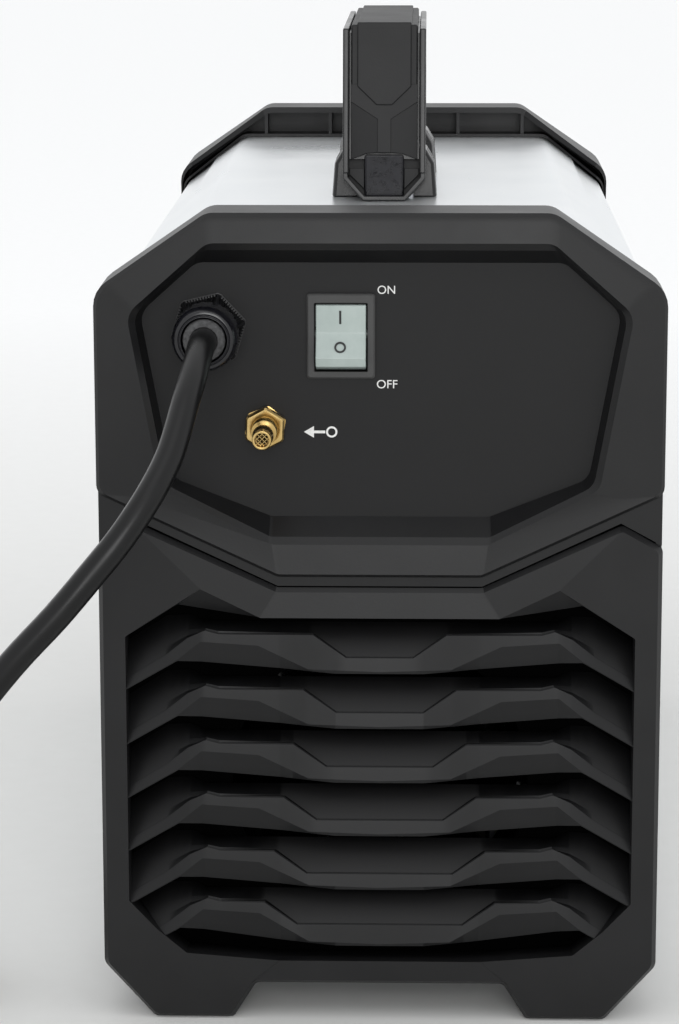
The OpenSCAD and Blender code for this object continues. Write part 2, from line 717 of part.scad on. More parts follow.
module gas_nut() {
    color("#c9a24a") difference() {
        union() {
            hex_y(gas_x, plate_y - 6, gas_z, gas_hex, 5);
            bar_y(gas_x, plate_y - 1, gas_z, gas_hex / 2 + 0.6, 1);
        }
        bar_y(gas_x, plate_y - 7, gas_z, 4.95, 9);
    }
}

sleeve_z = gas_z + 13;
coil_h = 30;
plunger_r = 4;
plunger_l = 16;
valve_stroke = 1.5;

module valve_body() {
    color("#b9975a") difference() {
        union() {
            translate([gas_x - 13, valve_y, gas_z - 13]) cube([26, valve_w, 26]);
            translate([gas_x, valve_y + valve_w / 2, sleeve_z]) cylinder(r = 5.2, h = coil_h + 3);
            bar_y(gas_x, valve_y + valve_w, gas_z, 3, 12);
            // foot that bolts to the rear plate
            translate([gas_x - 13, inner_y, gas_z - 17]) cube([26, 2, 9.5]);
            translate([gas_x - 13, inner_y, gas_z - 15]) cube([26, valve_y + 2 - inner_y, 2]);
            translate([gas_x - 13, valve_y, gas_z - 15]) cube([26, 2, 4]);
        }
        bar_y(gas_x, valve_y - 1, gas_z, 4.95, 9.5);
        translate([gas_x, valve_y + valve_w / 2, gas_z]) cylinder(r = plunger_r + run_gap, h = 13 + coil_h);
        bar_y(gas_x, valve_y + valve_w / 2 + 2, gas_z, 2, 30);
        bar_y(gas_x, valve_y + 8, gas_z, 1.5, 4);
    }
}

module valve_coil() {
    color("#1f2326") difference() {
        translate([gas_x - 13, valve_y + valve_w / 2 - 13, sleeve_z]) cube([26, 26, coil_h]);
        translate([gas_x, valve_y + valve_w / 2, sleeve_z - 1]) cylinder(r = 5.2 + run_gap, h = coil_h + 2);
    }
}

module valve_plunger() {
    color("#a9adb0") translate([gas_x, valve_y + valve_w / 2, gas_z + 0.2]) difference() {
        cylinder(r = plunger_r, h = plunger_l);
        translate([0, 0, plunger_l - 4]) cylinder(r = 3, h = 5);
    }
}

module valve_spring() {
    bottom = gas_z + 0.2 + plunger_l - 4;
    top = gas_z + 13 + coil_h;
    color("#c0c3c5") translate([gas_x, valve_y + valve_w / 2, bottom]) difference() {
        cylinder(r = 2.6, h = top - bottom);
        translate([0, 0, -1]) cylinder(r = 2, h = top - bottom + 2);
    }
}

torch_back = front_in - 34;

// Hose from the valve over the duct and down to the torch connector
module gas_hose() {
    y0 = valve_y + valve_w + 2;
    y1 = duct_y + duct_l + 22;
    color("#3c4044") difference() {
        swept([[gas_x, y0, gas_z], [gas_x, y0 + 14, gas_z], [gas_x, y1 - 60, gas_z], [gas_x, y1 - 30, gas_z],
            [gas_x, y1 - 14, gas_z - 6], [gas_x, y1 - 5, gas_z - 17], [gas_x, y1, gas_z - 32],
            [gas_x, y1, socket_z + 40], [gas_x - 1, y1 + 3, socket_z + 25],
            [torch_x, y1 + 10, socket_z + 11], [torch_x, y1 + 21, socket_z + 3], [torch_x, y1 + 32, socket_z],
            [torch_x, torch_back + 2, socket_z], [torch_x, torch_back + 10, socket_z]], 4.5, 8);
        bar_y(gas_x, y0 - 1, gas_z, 3 + run_gap, 11);
        bar_y(torch_x, torch_back - 1, socket_z, 3 + run_gap, 12);
    }
}

// ---- cooling and power parts ----

fan_bolt = fan_size / 2 - 7.2;
rotor_r = 20;

module fan_frame() {
    r = fan_size / 2 - 3.5;
    color("#1a1a1b") {
        difference() {
            translate([-fan_size / 2, fan_y, fan_z - fan_size / 2]) cube([fan_size, fan_d, fan_size]);
            bar_y(0, fan_y - 1, fan_z, r, fan_d + 2);
            for (sx = [-1, 1], sz = [-1, 1])
                bar_y(sx * fan_bolt, fan_y - 1, fan_z + sz * fan_bolt, 2.15, fan_d + 2);
        }
        difference() {
            union() {
                for (a = [45, 165, 285]) translate([0, fan_y + fan_d - 4, fan_z]) rotate([0, a, 0])
                    translate([0, 0.3, -3]) cube([r + 1, 3.5, 6]);
                bar_y(0, fan_y + fan_d - 4, fan_z, rotor_r + 2, 4);
                bar_y(0, fan_y + 12, fan_z, 5, fan_d - 14);
            }
            bar_y(0, fan_y + 10, fan_z, 1.5 + run_gap, fan_d);
        }
    }
}

module fan_rotor() {
    l = fan_d - 9;
    color("#2d2e30") {
        difference() {
            bar_y(0, fan_y + 3, fan_z, rotor_r, l);
            bar_y(0, fan_y + 6, fan_z, rotor_r - 2, l);
        }
        bar_y(0, fan_y + 4, fan_z, 1.5, fan_d - 6);
        for (k = [0:fan_blades - 1]) translate([0, fan_y + 3 + l / 2, fan_z]) rotate([0, k * 360 / fan_blades, 0])
            translate([rotor_r - 1, 0, 0]) rotate([38, 0, 0])
                translate([0, -1, -l / 2 - 1]) cube([fan_size / 2 - 6 - rotor_r, 2, l + 2]);
    }
}

// Inverted channel of sheet over the sinks that guides the fan's air
module air_duct() {
    color("#9da1a4") difference() {
        translate([-duct_half, duct_y, floor_z]) cube([2 * duct_half, duct_l, duct_z + plate_t - floor_z]);
        translate([-duct_half + plate_t, duct_y - 1, floor_z - 1])
            cube([2 * (duct_half - plate_t), duct_l + 2, duct_z - floor_z + 1]);
    }
}

sink_fins = 9;

module heat_sinks() {
    color("#b4b7b9") for (s = [-1, 1]) translate([s * sink_x - sink_w / 2, sink_y, sink_z]) {
        translate([0, 0, sink_h - 8]) cube([sink_w, sink_l, 8]);
        for (k = [0:sink_fins - 1])
            translate([k * (sink_w - 2) / (sink_fins - 1), 0, 0]) cube([2, sink_l, sink_h - 7]);
    }
}

module sink_feet() {
    color("#d8d5c8") for (s = [-1, 1], t = [0, 1])
        translate([s * sink_x - sink_w / 2, sink_y + 8 + t * (sink_l - 28), floor_z]) cube([sink_w, 12, sink_z - floor_z]);
}

module power_board() {
    color("#2f6b45") {
        translate([-sink_x - sink_w / 2, sink_y + 3, board_z]) cube([2 * sink_x + sink_w, sink_l - 6, 1.6]);
        for (s = [-1, 1], t = [-1, 1], u = [0, 1])
            translate([s * sink_x + t * 26, sink_y + 9 + u * (sink_l - 18), sink_z + sink_h])
                cylinder(r = 3.5, h = board_z - sink_z - sink_h);
    }
}

// Power transistors and diodes lying on the sinks, their legs up to the board
module transistors() {
    color("#26282a") for (s = [-1, 1], k = [0:3])
        translate([s * sink_x - 8, sink_y + 20 + k * 21, sink_z + sink_h]) {
            cube([16, 15, 5]);
            translate([s > 0 ? -5 : 16, 5, 2]) cube([5, 5, 1]);
            translate([s > 0 ? -5 : 20, 5, 2]) cube([1, 5, board_z - sink_z - sink_h - 2]);
        }
}

module capacitors() {
    color("#24506b") for (k = [0:3])
        translate([-42 + k * 28, sink_y + sink_l / 2 + (k % 2 == 0 ? -22 : 22), board_z + 1.6]) cylinder(r = 15, h = 50);
}

// A pair of E cores with its three legs along Z, seen in the X and Z plane
module e_core(w, h, d) {
    difference() {
        translate([-w / 2, -d / 2, 0]) cube([w, d, h]);
        for (s = [-1, 1]) translate([s * w / 4 - w / 8, -d, w / 8]) cube([w / 4, 2 * d, h - w / 4]);
    }
}

// The winding round the middle leg
module winding(w, h, d) {
    difference() {
        translate([-w / 2 + w / 8 + 0.5, -d / 2 - w / 4, w / 8 + 0.3]) cube([w * 3 / 4 - 1, d + w / 2, h - w / 4 - 0.6]);
        translate([-w / 8 - 0.3, -d / 2 - 0.3, 0]) cube([w / 4 + 0.6, d + 0.6, h]);
    }
}

module transformer_core() {
    color("#3a3a3c") translate([-36, core_y + 34, floor_z]) e_core(62, 62, 30);
}

module transformer_winding() {
    color("#c8a23a") translate([-36, core_y + 34, floor_z]) winding(62, 62, 30);
}

module choke_core() {
    color("#3a3a3c") translate([36, core_y + 34, floor_z]) e_core(54, 52, 26);
}

module choke_winding() {
    color("#a5552c") translate([36, core_y + 34, floor_z]) winding(54, 52, 26);
}

module control_board() {
    z = duct_z + plate_t;
    y0 = duct_y + 50;
    color("#2f6b45") {
        translate([-56, y0, z + 6]) cube([112, 110, 1.6]);
        for (sx = [-1, 1], ty = [8, 102]) translate([sx * 48, y0 + ty, z]) cylinder(r = 3.5, h = 6);
        for (k = [0:2]) translate([-10 + k * 22, y0 + 30, z + 7.6]) cube([16, 24, 10]);
        translate([8, y0 + 70, z + 7.6]) cube([34, 26, 20]);
    }
}

// ---- front controls and sockets ----

window_w = 50;
window_h = 26;
button_r = 6;
lamp_x = 44;
lamp_r = 2.5;
button_travel = 2;

module display_window() {
    color("#2a1416") {
        translate([-window_w / 2, front_out, window_z - window_h / 2]) cube([window_w, 1.5, window_h]);
        translate([-window_w / 2 + 1 + run_gap, front_in - 8, window_z - window_h / 2 + 1 + run_gap])
            cube([window_w - 2 - 2 * run_gap, 8 + plate_t, window_h - 2 - 2 * run_gap]);
    }
}

// Potentiometer behind the knob, and the cups that guide the two push buttons
module control_bases() {
    color("#5a6470") {
        difference() {
            union() {
                bar_y(0, front_in - 10, knob_z, 9, 10);
                bar_y(0, front_in - 1, knob_z, 4.9, plate_t + 5);
            }
            bar_y(0, front_in - 8, knob_z, 3 + run_gap, 20);
        }
        for (s = [-1, 1]) difference() {
            bar_y(s * button_x, front_in - 12, knob_z, button_r + 3.5, 12);
            bar_y(s * button_x, front_in - 2.6 - button_travel, knob_z, button_r + 2, 12);
        }
    }
}

module current_knob() {
    color("#1c1c1d") {
        difference() {
            union() {
                bar_y(0, front_out + 5, knob_z, knob_d / 2, 4);
                translate([0, front_out + 9, knob_z]) rotate([-90, 0, 0])
                    cylinder(r1 = knob_d / 2 - 2, r2 = knob_d / 2 - 3.5, h = 13);
            }
            bar_y(0, front_out + 4, knob_z, 6, 4);
        }
        bar_y(0, front_in - 7.5, knob_z, 3, recess_d + 6);
    }
}

// A push button at x: its cap stands out of the plate and its collar lies behind it
module push_button(x) {
    bar_y(x, front_in - 2.3, knob_z, button_r, plate_t + 5.3);
    bar_y(x, front_in - 2.3, knob_z, button_r + 1.8, 2);
}

module mode_button() {
    color("#8c9092") push_button(-button_x);
}

module test_button() {
    color("#8c9092") push_button(button_x);
}

module front_lamps() {
    color("#b54a2e") for (k = [-1:1]) {
        bar_y(lamp_x, front_in - 4, window_z + k * 8, lamp_r, 4 + plate_t + 1);
        bar_y(lamp_x, front_out, window_z + k * 8, lamp_r + 0.6, 1);
    }
}

// Insulated sleeve of the twist-lock work lead socket
module work_socket() {
    color("#202122") difference() {
        union() {
            bar_y(socket_x, front_out, socket_z, socket_d / 2 + 3, 4);
            bar_y(socket_x, front_out, socket_z, socket_d / 2, recess_d + socket_proud);
        }
        bar_y(socket_x, front_out - 1, socket_z, 11.05, 40);
    }
}

// Brass insert with the bore and key slot for the plug's pin, and its stud through the plate
module socket_contact() {
    color("#c9a24a") difference() {
        union() {
            bar_y(socket_x, front_out, socket_z, 11, recess_d + socket_proud - 2);
            bar_y(socket_x, front_in - 26, socket_z, 5, 27);
            bar_y(socket_x, front_in - 1, socket_z, 8, plate_t + 2);
            hex_y(socket_x, front_in - 8, socket_z, 17, 8);
        }
        bar_y(socket_x, yf - 8, socket_z, socket_bore / 2, 40);
        translate([socket_x - 2, yf + 4, socket_z]) cube([4, 30, socket_bore / 2 + 2.5]);
    }
}

// Threaded gas and power connector for the torch
module torch_connector() {
    color("#c9a24a") difference() {
        union() {
            hex_y(torch_x, front_out, socket_z, torch_d + 8, 8);
            bar_y(torch_x, front_out + 8, socket_z, torch_d / 2, recess_d + 4);
            bar_y(torch_x, front_in - 14, socket_z, 8, plate_t + 15);
            hex_y(torch_x, front_in - 8, socket_z, 22, 8);
            bar_y(torch_x, torch_back, socket_z, 3, 24);
        }
        bar_y(torch_x, front_out + 6, socket_z, 5, 40);
        bar_y(torch_x, torch_back - 1, socket_z, 1.8, 60);
    }
}

// Two-pin socket for the torch trigger
module trigger_socket() {
    z = socket_z + 32;
    color("#b8bbbd") {
        difference() {
            union() {
                bar_y(0, front_out, z, 10.5, 2.5);
                bar_y(0, front_in - 14, z, 8, 14 + plate_t + 10);
                hex_y(0, front_in - 3, z, 19, 3);
            }
            bar_y(0, front_out + 2, z, 6.5, 20);
        }
        for (s = [-1, 1]) bar_y(s * 2.6, front_out + 1, z, 0.8, 7);
    }
}

rear_bezel();
rear_grille();
rear_plate();
front_bezel();
front_surround();
front_plate();
top_cover();
left_side();
right_side();
base_pan();
handle_frame();
handle_shell();
handle_blocks();
handle_screws();
side_screws();
end_screws();
gland_body();
gland_locknut();
gland_dome_nut();
gland_seal();
cable_tail();
power_cord();
cord_coil();
cord_tie();
plug_body();
plug_pins();
switch_housing();
switch_rocker();
switch_blades();
gas_inlet();
gas_nut();
valve_body();
valve_coil();
valve_plunger();
valve_spring();
gas_hose();
air_duct();
fan_frame();
fan_rotor();
heat_sinks();
sink_feet();
power_board();
transistors();
capacitors();
transformer_core();
transformer_winding();
choke_core();
choke_winding();
control_board();
supply_wires();
display_window();
current_knob();
control_bases();
mode_button();
test_button();
front_lamps();
work_socket();
socket_contact();
torch_connector();
trigger_socket();
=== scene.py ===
import math
import bmesh
import bpy
from mathutils import Matrix, Vector


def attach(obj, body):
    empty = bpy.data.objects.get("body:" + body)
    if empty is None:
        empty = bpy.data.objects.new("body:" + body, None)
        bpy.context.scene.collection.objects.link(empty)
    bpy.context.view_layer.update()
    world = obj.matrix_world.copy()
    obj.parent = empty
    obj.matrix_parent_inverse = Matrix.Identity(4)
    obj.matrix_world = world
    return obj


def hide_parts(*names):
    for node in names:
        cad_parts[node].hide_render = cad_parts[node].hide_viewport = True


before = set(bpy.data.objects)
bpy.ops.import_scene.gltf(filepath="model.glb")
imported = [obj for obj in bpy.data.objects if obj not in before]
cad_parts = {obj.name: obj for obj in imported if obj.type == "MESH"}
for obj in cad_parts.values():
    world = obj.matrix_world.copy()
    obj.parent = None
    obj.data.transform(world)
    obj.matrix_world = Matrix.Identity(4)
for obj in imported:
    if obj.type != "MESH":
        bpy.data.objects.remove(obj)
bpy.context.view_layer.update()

# sizes are in millimetres from here on, seen from the rear: X right, Y away, Z up
unit = {"height": 308.5, "rearFace": -242.5}
# the outer faces of both end plates, out from the middle
plateY = 231.5


# ---- modelling helpers ----

def rest():
    if bpy.context.mode != "OBJECT":
        bpy.ops.object.mode_set(mode="OBJECT")
    bpy.ops.object.select_all(action="DESELECT")


def pick(*pieces):
    rest()
    for piece in pieces:
        piece.select_set(True)
    bpy.context.view_layer.objects.active = pieces[0]


def skin(name, rings, looped=False, wrapped=True):
    # a shape drawn as matching outlines, each extruded from the last and moved into place: a solid with
    # end faces, a ring that closes on itself, or an open strip
    rest()
    bpy.ops.mesh.primitive_circle_add(vertices=len(rings[0]), radius=1)
    piece = bpy.context.object
    piece.name = piece.data.name = name
    bpy.ops.object.mode_set(mode="EDIT")
    mesh = bmesh.from_edit_mesh(piece.data)
    mesh.verts.ensure_lookup_table()
    for v, p in zip(mesh.verts, rings[0]):
        v.co = Vector(p) / 1000
    if not wrapped:
        mesh.edges.remove(mesh.edges.get((mesh.verts[0], mesh.verts[-1])))
    bmesh.update_edit_mesh(piece.data)
    bpy.ops.mesh.select_mode(type="EDGE")
    bpy.ops.mesh.select_all(action="SELECT")
    if wrapped and not looped:
        bpy.ops.mesh.edge_face_add()
    last = rings[0]
    for ring in rings[1:] + ([rings[0]] if looped else []):
        bpy.ops.mesh.extrude_edges_move()
        mesh = bmesh.from_edit_mesh(piece.data)
        fresh = [v for v in mesh.verts if v.select]
        spare = [(i, Vector(p) / 1000) for i, p in enumerate(last)]
        for v in fresh:
            near = min(spare, key=lambda s: (s[1] - v.co).length_squared)
            spare.remove(near)
            v.co = Vector(ring[near[0]]) / 1000
        bmesh.update_edit_mesh(piece.data)
        last = ring
    if wrapped and not looped:
        bpy.ops.mesh.edge_face_add()
    bpy.ops.mesh.select_all(action="SELECT")
    bpy.ops.mesh.remove_doubles(threshold=2e-6)
    if wrapped:
        bpy.ops.mesh.normals_make_consistent(inside=False)
    rest()
    return piece


def modify(piece, kind, **settings):
    pick(piece)
    modifier = piece.modifiers.new(kind, kind)
    for key, value in settings.items():
        setattr(modifier, key, value)
    bpy.ops.object.modifier_apply(modifier=modifier.name)


def smoothed(piece, angle):
    pick(piece)
    bpy.ops.object.shade_smooth_by_angle(angle=math.radians(angle))
    return piece


def soften(piece, width, segments=3, angle=25, smooth=35):
    # rounds the edges as the mould or the press brake leaves them
    modify(piece, "BEVEL", width=width / 1000, segments=segments, limit_method="ANGLE",
           angle_limit=math.radians(angle), use_clamp_overlap=True)
    return smoothed(piece, smooth)


def join(name, pieces):
    pick(*pieces)
    if len(pieces) > 1:
        bpy.ops.object.join()
    piece = bpy.context.object
    piece.name = piece.data.name = name
    return piece


def shift(x, y, z):
    return Matrix.Translation(Vector((x, y, z)) / 1000)


def flipY(piece):
    # the other end's copy, turned inside out by the mirror and set right again
    piece.data.transform(Matrix.Scale(-1, 4, (0, 1, 0)))
    pick(piece)
    bpy.ops.object.mode_set(mode="EDIT")
    bpy.ops.mesh.select_all(action="SELECT")
    bpy.ops.mesh.flip_normals()
    rest()
    return piece


def bothSides(right):
    return list(right) + [(-p[0],) + tuple(p[1:]) for p in reversed(right)]


def doubled(values):
    return list(values) + list(reversed(values))


def grow(corners, out):
    # the same outline, moved outwards by out along every edge
    lines = []
    for i, a in enumerate(corners):
        b = corners[(i + 1) % len(corners)]
        d = Vector((b[0] - a[0], b[1] - a[1])).normalized()
        n = Vector((-d.y, d.x))
        lines.append((Vector(a[:2]) + n * out, d))
    result = []
    for i in range(len(corners)):
        (p, d), (q, e) = lines[i - 1], lines[i]
        cross = d.x * e.y - d.y * e.x
        w = q - p
        result.append(tuple(p + d * ((w.x * e.y - w.y * e.x) / cross)) if abs(cross) > 1e-6 else tuple(q))
    return result


def rounded(corners, radii, y, steps=4):
    # an outline in X and Z with arcs at its corners; y is one depth or one for each corner
    ring = []
    count = len(corners)
    for i, corner in enumerate(corners):
        depth = y[i] if isinstance(y, (list, tuple)) else y
        c = Vector(corner[:2])
        a = Vector(corners[i - 1][:2]) - c
        b = Vector(corners[(i + 1) % count][:2]) - c
        half = a.angle(b) / 2
        if half > 1.54:
            # a corner that is nearly straight keeps its points on the line
            for s in range(steps + 1):
                point = c + a.normalized() * 0.4 * (1 - s / steps) + b.normalized() * 0.4 * (s / steps)
                ring.append((point.x, depth, point.y))
            continue
        cut = min(max(radii[i], 0.05) / math.tan(half), 0.45 * min(a.length, b.length))
        radius = cut * math.tan(half)
        centre = c + (a.normalized() + b.normalized()).normalized() * (radius / math.sin(half))
        p = c + a.normalized() * cut - centre
        q = c + b.normalized() * cut - centre
        for s in range(steps + 1):
            point = centre + p.slerp(q, s / steps).normalized() * p.length
            ring.append((point.x, depth, point.y))
    return ring


def circle(x, y, z, r, sides=48):
    # r is a radius, or a function that gives the outline's reach at each angle
    ring = []
    for k in range(sides):
        a = 2 * math.pi * k / sides
        reach = r(a) if callable(r) else r
        ring.append((x + reach * math.sin(a), y, z + reach * math.cos(a)))
    return ring


def fluted(r, depth, count, power=2):
    return lambda a: r - depth * (0.5 + 0.5 * math.cos(count * a)) ** power


def turned(name, x, z, profile, sides=48, looped=False):
    # a lathe piece about an axis along Y; profile is (radius, y)
    return skin(name, [circle(x, y, z, r, sides) for r, y in profile], looped=looped)


def turnedX(name, x, y, z, profile, sides):
    # a lathe piece about an axis along X; profile is (radius, x)
    return skin(name, [[(x + t, y + r * math.sin(a), z + r * math.cos(a))
                        for a in (2 * math.pi * k / sides for k in range(sides))] for r, t in profile])


def hexagon(x, y, z, flats, corner=0.6):
    points = [(x + flats / math.sqrt(3) * math.sin(a), z + flats / math.sqrt(3) * math.cos(a))
              for a in (math.pi / 3 * k for k in range(6))]
    return rounded(points, [corner] * 6, y, 3)


def rectangle(x0, x1, z0, z1, y, radius):
    return rounded([(x0, z1), (x1, z1), (x1, z0), (x0, z0)], [radius] * 4, y)


def slabX(name, outline, x0, x1):
    # an outline in Y and Z, given a width along X
    return skin(name, [[(x, p[0], p[1]) for p in outline] for x in (x0, x1)])


def slabY(name, outline, y0, y1):
    return skin(name, [[(p[0], y, p[1]) for p in outline] for y in (y0, y1)])


# ---- finishes ----

def linear(code):
    # an sRGB hex colour as the shader wants it
    parts = [int(code[i:i + 2], 16) / 255 for i in (0, 2, 4)]
    return tuple(c / 12.92 if c <= 0.04045 else ((c + 0.055) / 1.055) ** 2.4 for c in parts) + (1,)


def addNode(tree, kind, values=None, links=None, **settings):
    node = tree.nodes.new(kind)
    for key, value in settings.items():
        setattr(node, key, value)
    for key, value in (values or {}).items():
        node.inputs[key].default_value = value
    for key, (source, output) in (links or {}).items():
        tree.links.new(source.outputs[output], node.inputs[key])
    return node


def addRamp(tree, source, *stops):
    ramp = addNode(tree, "ShaderNodeValToRGB", links={"Fac": source})
    for stop, (position, code) in zip(ramp.color_ramp.elements, stops):
        stop.position = position
        stop.color = linear(code)
    return ramp


finishes = {}


def finish(name, light, dark, roughness, grain, depth, patch=25, metallic=0.0, ior=1.5, spread=0.06,
           stretch=(1, 1, 1), coat=0.0, sheen=0.0, speck=0.0, shade=None, deep=None):
    # one surface: two close shades in patches, a grain that lifts the surface, and uneven gloss.
    # grain and patch are in mm; depth is the height of the grain in mm. Below the height shade, or between the
    # distances deep from the middle of the case, all in m, a painted shade darkens the colour and dims the gloss
    material = bpy.data.materials.new(name)
    material.use_nodes = True
    tree = material.node_tree
    tree.nodes.clear()
    place = addNode(tree, "ShaderNodeTexCoord")
    turn = addNode(tree, "ShaderNodeMapping", {"Scale": stretch}, {"Vector": (place, "Object")})
    cloud = addNode(tree, "ShaderNodeTexNoise", {"Scale": 1000 / patch, "Detail": 4, "Roughness": 0.6},
                    {"Vector": (turn, "Vector")})
    fine = addNode(tree, "ShaderNodeTexNoise", {"Scale": 1000 / grain, "Detail": 3, "Roughness": 0.65},
                   {"Vector": (turn, "Vector")})
    mixed = addNode(tree, "ShaderNodeMath", {1: speck}, {0: (fine, "Fac"), 2: (cloud, "Fac")},
                    operation="MULTIPLY_ADD")
    colour = addRamp(tree, (mixed, "Value"), (0.3 + speck * 0.4, dark), (0.7 + speck * 0.6, light)), "Color"
    gloss = addNode(tree, "ShaderNodeMapRange", {"From Min": 0.3, "From Max": 0.7, "To Min": roughness - spread,
                                                 "To Max": roughness + spread}, {"Value": (cloud, "Fac")})
    bump = addNode(tree, "ShaderNodeBump", {"Distance": depth / 1000}, {"Height": (fine, "Fac")})
    links = {"Roughness": (gloss, "Result"), "Normal": (bump, "Normal")}
    if shade or deep:
        # painted shade for the dark behind the louvres: the colour is darkened towards black and the gloss is dimmed
        level = addNode(tree, "ShaderNodeSeparateXYZ", links={"Vector": (place, "Object")})
        away = addNode(tree, "ShaderNodeMath", links={0: (level, "Y")}, operation="ABSOLUTE")
        start, end = (shade - 0.001, shade + 0.001) if shade else deep
        lit = addNode(tree, "ShaderNodeMapRange",
                      {"From Min": start, "From Max": end, "To Min": 0.04 if shade else 0.3, "To Max": 1.0},
                      {"Value": (level, "Z") if shade else (away, "Value")})
        colour = addNode(tree, "ShaderNodeMix", {"Factor": 1.0}, {6: colour, 7: (lit, "Result")},
                         data_type="RGBA", blend_type="MULTIPLY"), 2
        gleam = addNode(tree, "ShaderNodeMath", {1: 0.5}, {0: (lit, "Result")}, operation="MULTIPLY")
        links["Specular IOR Level"] = (gleam, "Value")
    body = addNode(tree, "ShaderNodeBsdfPrincipled",
                   {"Metallic": metallic, "IOR": ior, "Coat Weight": coat, "Coat Roughness": 0.15,
                    "Sheen Weight": sheen}, {"Base Color": colour, **links})
    addNode(tree, "ShaderNodeOutputMaterial", links={"Surface": (body, "BSDF")})
    finishes[name] = material


# black ABS from a spark-eroded mould: even dull black with a fine leathery grain
finish("hoodAbs", "161617", "111112", 0.42, 0.9, 0.025, spread=0.03, speck=0.25, ior=1.38)
# the louvred moulding, same resin from a slightly smoother mould, with painted shade that darkens it further in from
# the end face
finish("grilleAbs", "161617", "111112", 0.40, 0.8, 0.02, spread=0.03, speck=0.2, ior=1.38, deep=(0.2325, 0.2405))
# the fan's black nylon behind the plate, with painted shade that blackens it below 172 mm
finish("fanBlack", "1a1a1b", "121213", 0.5, 1.0, 0.02, shade=0.172)
# black epoxy powder coat on steel: satin with a faint orange peel, with painted shade that blackens it below 172 mm,
# behind the louvres
finish("powderCoat", "151516", "101011", 0.46, 1.4, 0.02, patch=40, spread=0.03, speck=0.3, ior=1.34, shade=0.172)
# the same coat on the control end's plate, which nothing covers
finish("plateCoat", "1b1b1c", "151516", 0.46, 1.4, 0.02, patch=40, spread=0.03, speck=0.3, ior=1.4)
# silver stoving enamel on folded sheet: soft metallic sheen, fine flake
finish("silverEnamel", "eceeef", "e2e5e7", 0.30, 0.8, 0.006, patch=60, metallic=0.75, spread=0.03, speck=0.2)
# bright zinc plate: grey metal with cloudy patches
finish("zincPlate", "c0c2c4", "a9acb0", 0.38, 1.2, 0.01, patch=12, metallic=1.0, spread=0.08)
# the grip's shell: a coarser grain under the hand
finish("gripAbs", "171718", "121213", 0.5, 0.8, 0.04, spread=0.03, speck=0.25, ior=1.38)
# glass-filled nylon of the handle's rails: satin, glossy where the light grazes it
finish("railNylon", "161617", "101011", 0.27, 0.8, 0.02, ior=1.42)
# hook-and-loop strap: very dull, dry
finish("strapFabric", "202021", "161617", 0.8, 0.6, 0.2, sheen=0.2)
# soft black rubber of the seal, dusty grey on its ridges
finish("sealRubber", "525253", "202021", 0.7, 0.5, 0.15, patch=1.2, speck=0.3)
# polished black styrene: deep gloss
finish("glossStyrene", "1a1a20", "0c0c10", 0.3, 1.6, 0.03, patch=3, spread=0.12, ior=1.36)
# glass-filled nylon of the cable gland: satin with a faint flow pattern
finish("glandNylon", "18181a", "101011", 0.34, 1.1, 0.01, patch=6, ior=1.45)
# the dome nut is polished by its mould: smooth with a blue-black cast
finish("glandGloss", "111116", "0b0b0f", 0.20, 1.5, 0.004, patch=8, spread=0.04)
# matt black polyamide of the switch frame, paler than the plate
finish("switchBlack", "3b3b3b", "333333", 0.5, 0.7, 0.04, patch=8)
# soft PVC sheath: satin black with small rubbed patches
finish("cordPvc", "09090a", "060607", 0.32, 1.2, 0.01, patch=14, ior=1.38)
# moulded polycarbonate switch rocker: grey with a green cast
finish("rockerGrey", "a9b4b0", "9eaaa6", 0.34, 0.9, 0.01, patch=10, coat=0.2)
# pad-printed white ink: flat, a little broken up
finish("whiteInk", "e8e8e6", "d4d4d2", 0.6, 0.5, 0.01, patch=2)
# black pad print on the rocker
finish("blackInk", "1a1c1c", "101212", 0.5, 0.5, 0.01, patch=2)
# turned brass: warm yellow with faint rings round the axis
finish("turnedBrass", "cdb27a", "b39355", 0.24, 0.5, 0.01, patch=4, metallic=1.0, stretch=(0.2, 4, 0.2))
# extruded aluminium with draw lines along the case
finish("extrudedAlu", "c6c8ca", "b0b3b6", 0.36, 0.6, 0.01, patch=8, metallic=1.0, stretch=(1, 0.05, 1))
# green solder mask over glass cloth
finish("solderMask", "183a26", "10291a", 0.3, 1.0, 0.02, patch=3, coat=0.3)
# shrink sleeve on the capacitors
finish("sleeveBlack", "1d1f23", "141518", 0.28, 1.5, 0.01, patch=9, coat=0.3)
# sintered ferrite: dark grey and slightly sparkling
finish("ferrite", "4a4a4c", "38383a", 0.55, 0.7, 0.03, patch=5, speck=0.4)
# polyester tape over a winding
finish("yellowTape", "d8ac35", "b98c22", 0.3, 1.2, 0.02, patch=9)
# enamelled copper wire laid side by side
finish("copperWire", "b4612f", "8c4319", 0.3, 1.6, 0.3, patch=5, metallic=0.8, stretch=(0.1, 0.1, 2))
# white steatite insulators
finish("steatite", "dcd8cc", "c9c4b6", 0.5, 0.8, 0.02, patch=7)
# black epoxy device packages
finish("epoxyBlack", "2c2d2f", "222325", 0.55, 0.6, 0.03, patch=4)
# silicone wire insulation
finish("wireBrown", "6b4128", "4f2e1a", 0.45, 0.9, 0.02, patch=6)
# braided-over gas hose
finish("hoseGrey", "4d5054", "3b3e41", 0.5, 1.4, 0.1, patch=8)
# tinted acrylic display window
finish("displayTint", "3a0d10", "2a080a", 0.08, 4.0, 0.002, patch=30, spread=0.02, coat=0.6)
# grey keys
finish("keyGrey", "9a9d9f", "8b8e90", 0.4, 0.7, 0.02, patch=6)
# coloured lamp lenses
finish("lampLens", "d8552f", "c04722", 0.15, 2.0, 0.004, patch=5, coat=0.5)
# blackened screws
finish("blackSteel", "343436", "262628", 0.42, 0.7, 0.02, patch=4, metallic=0.9)

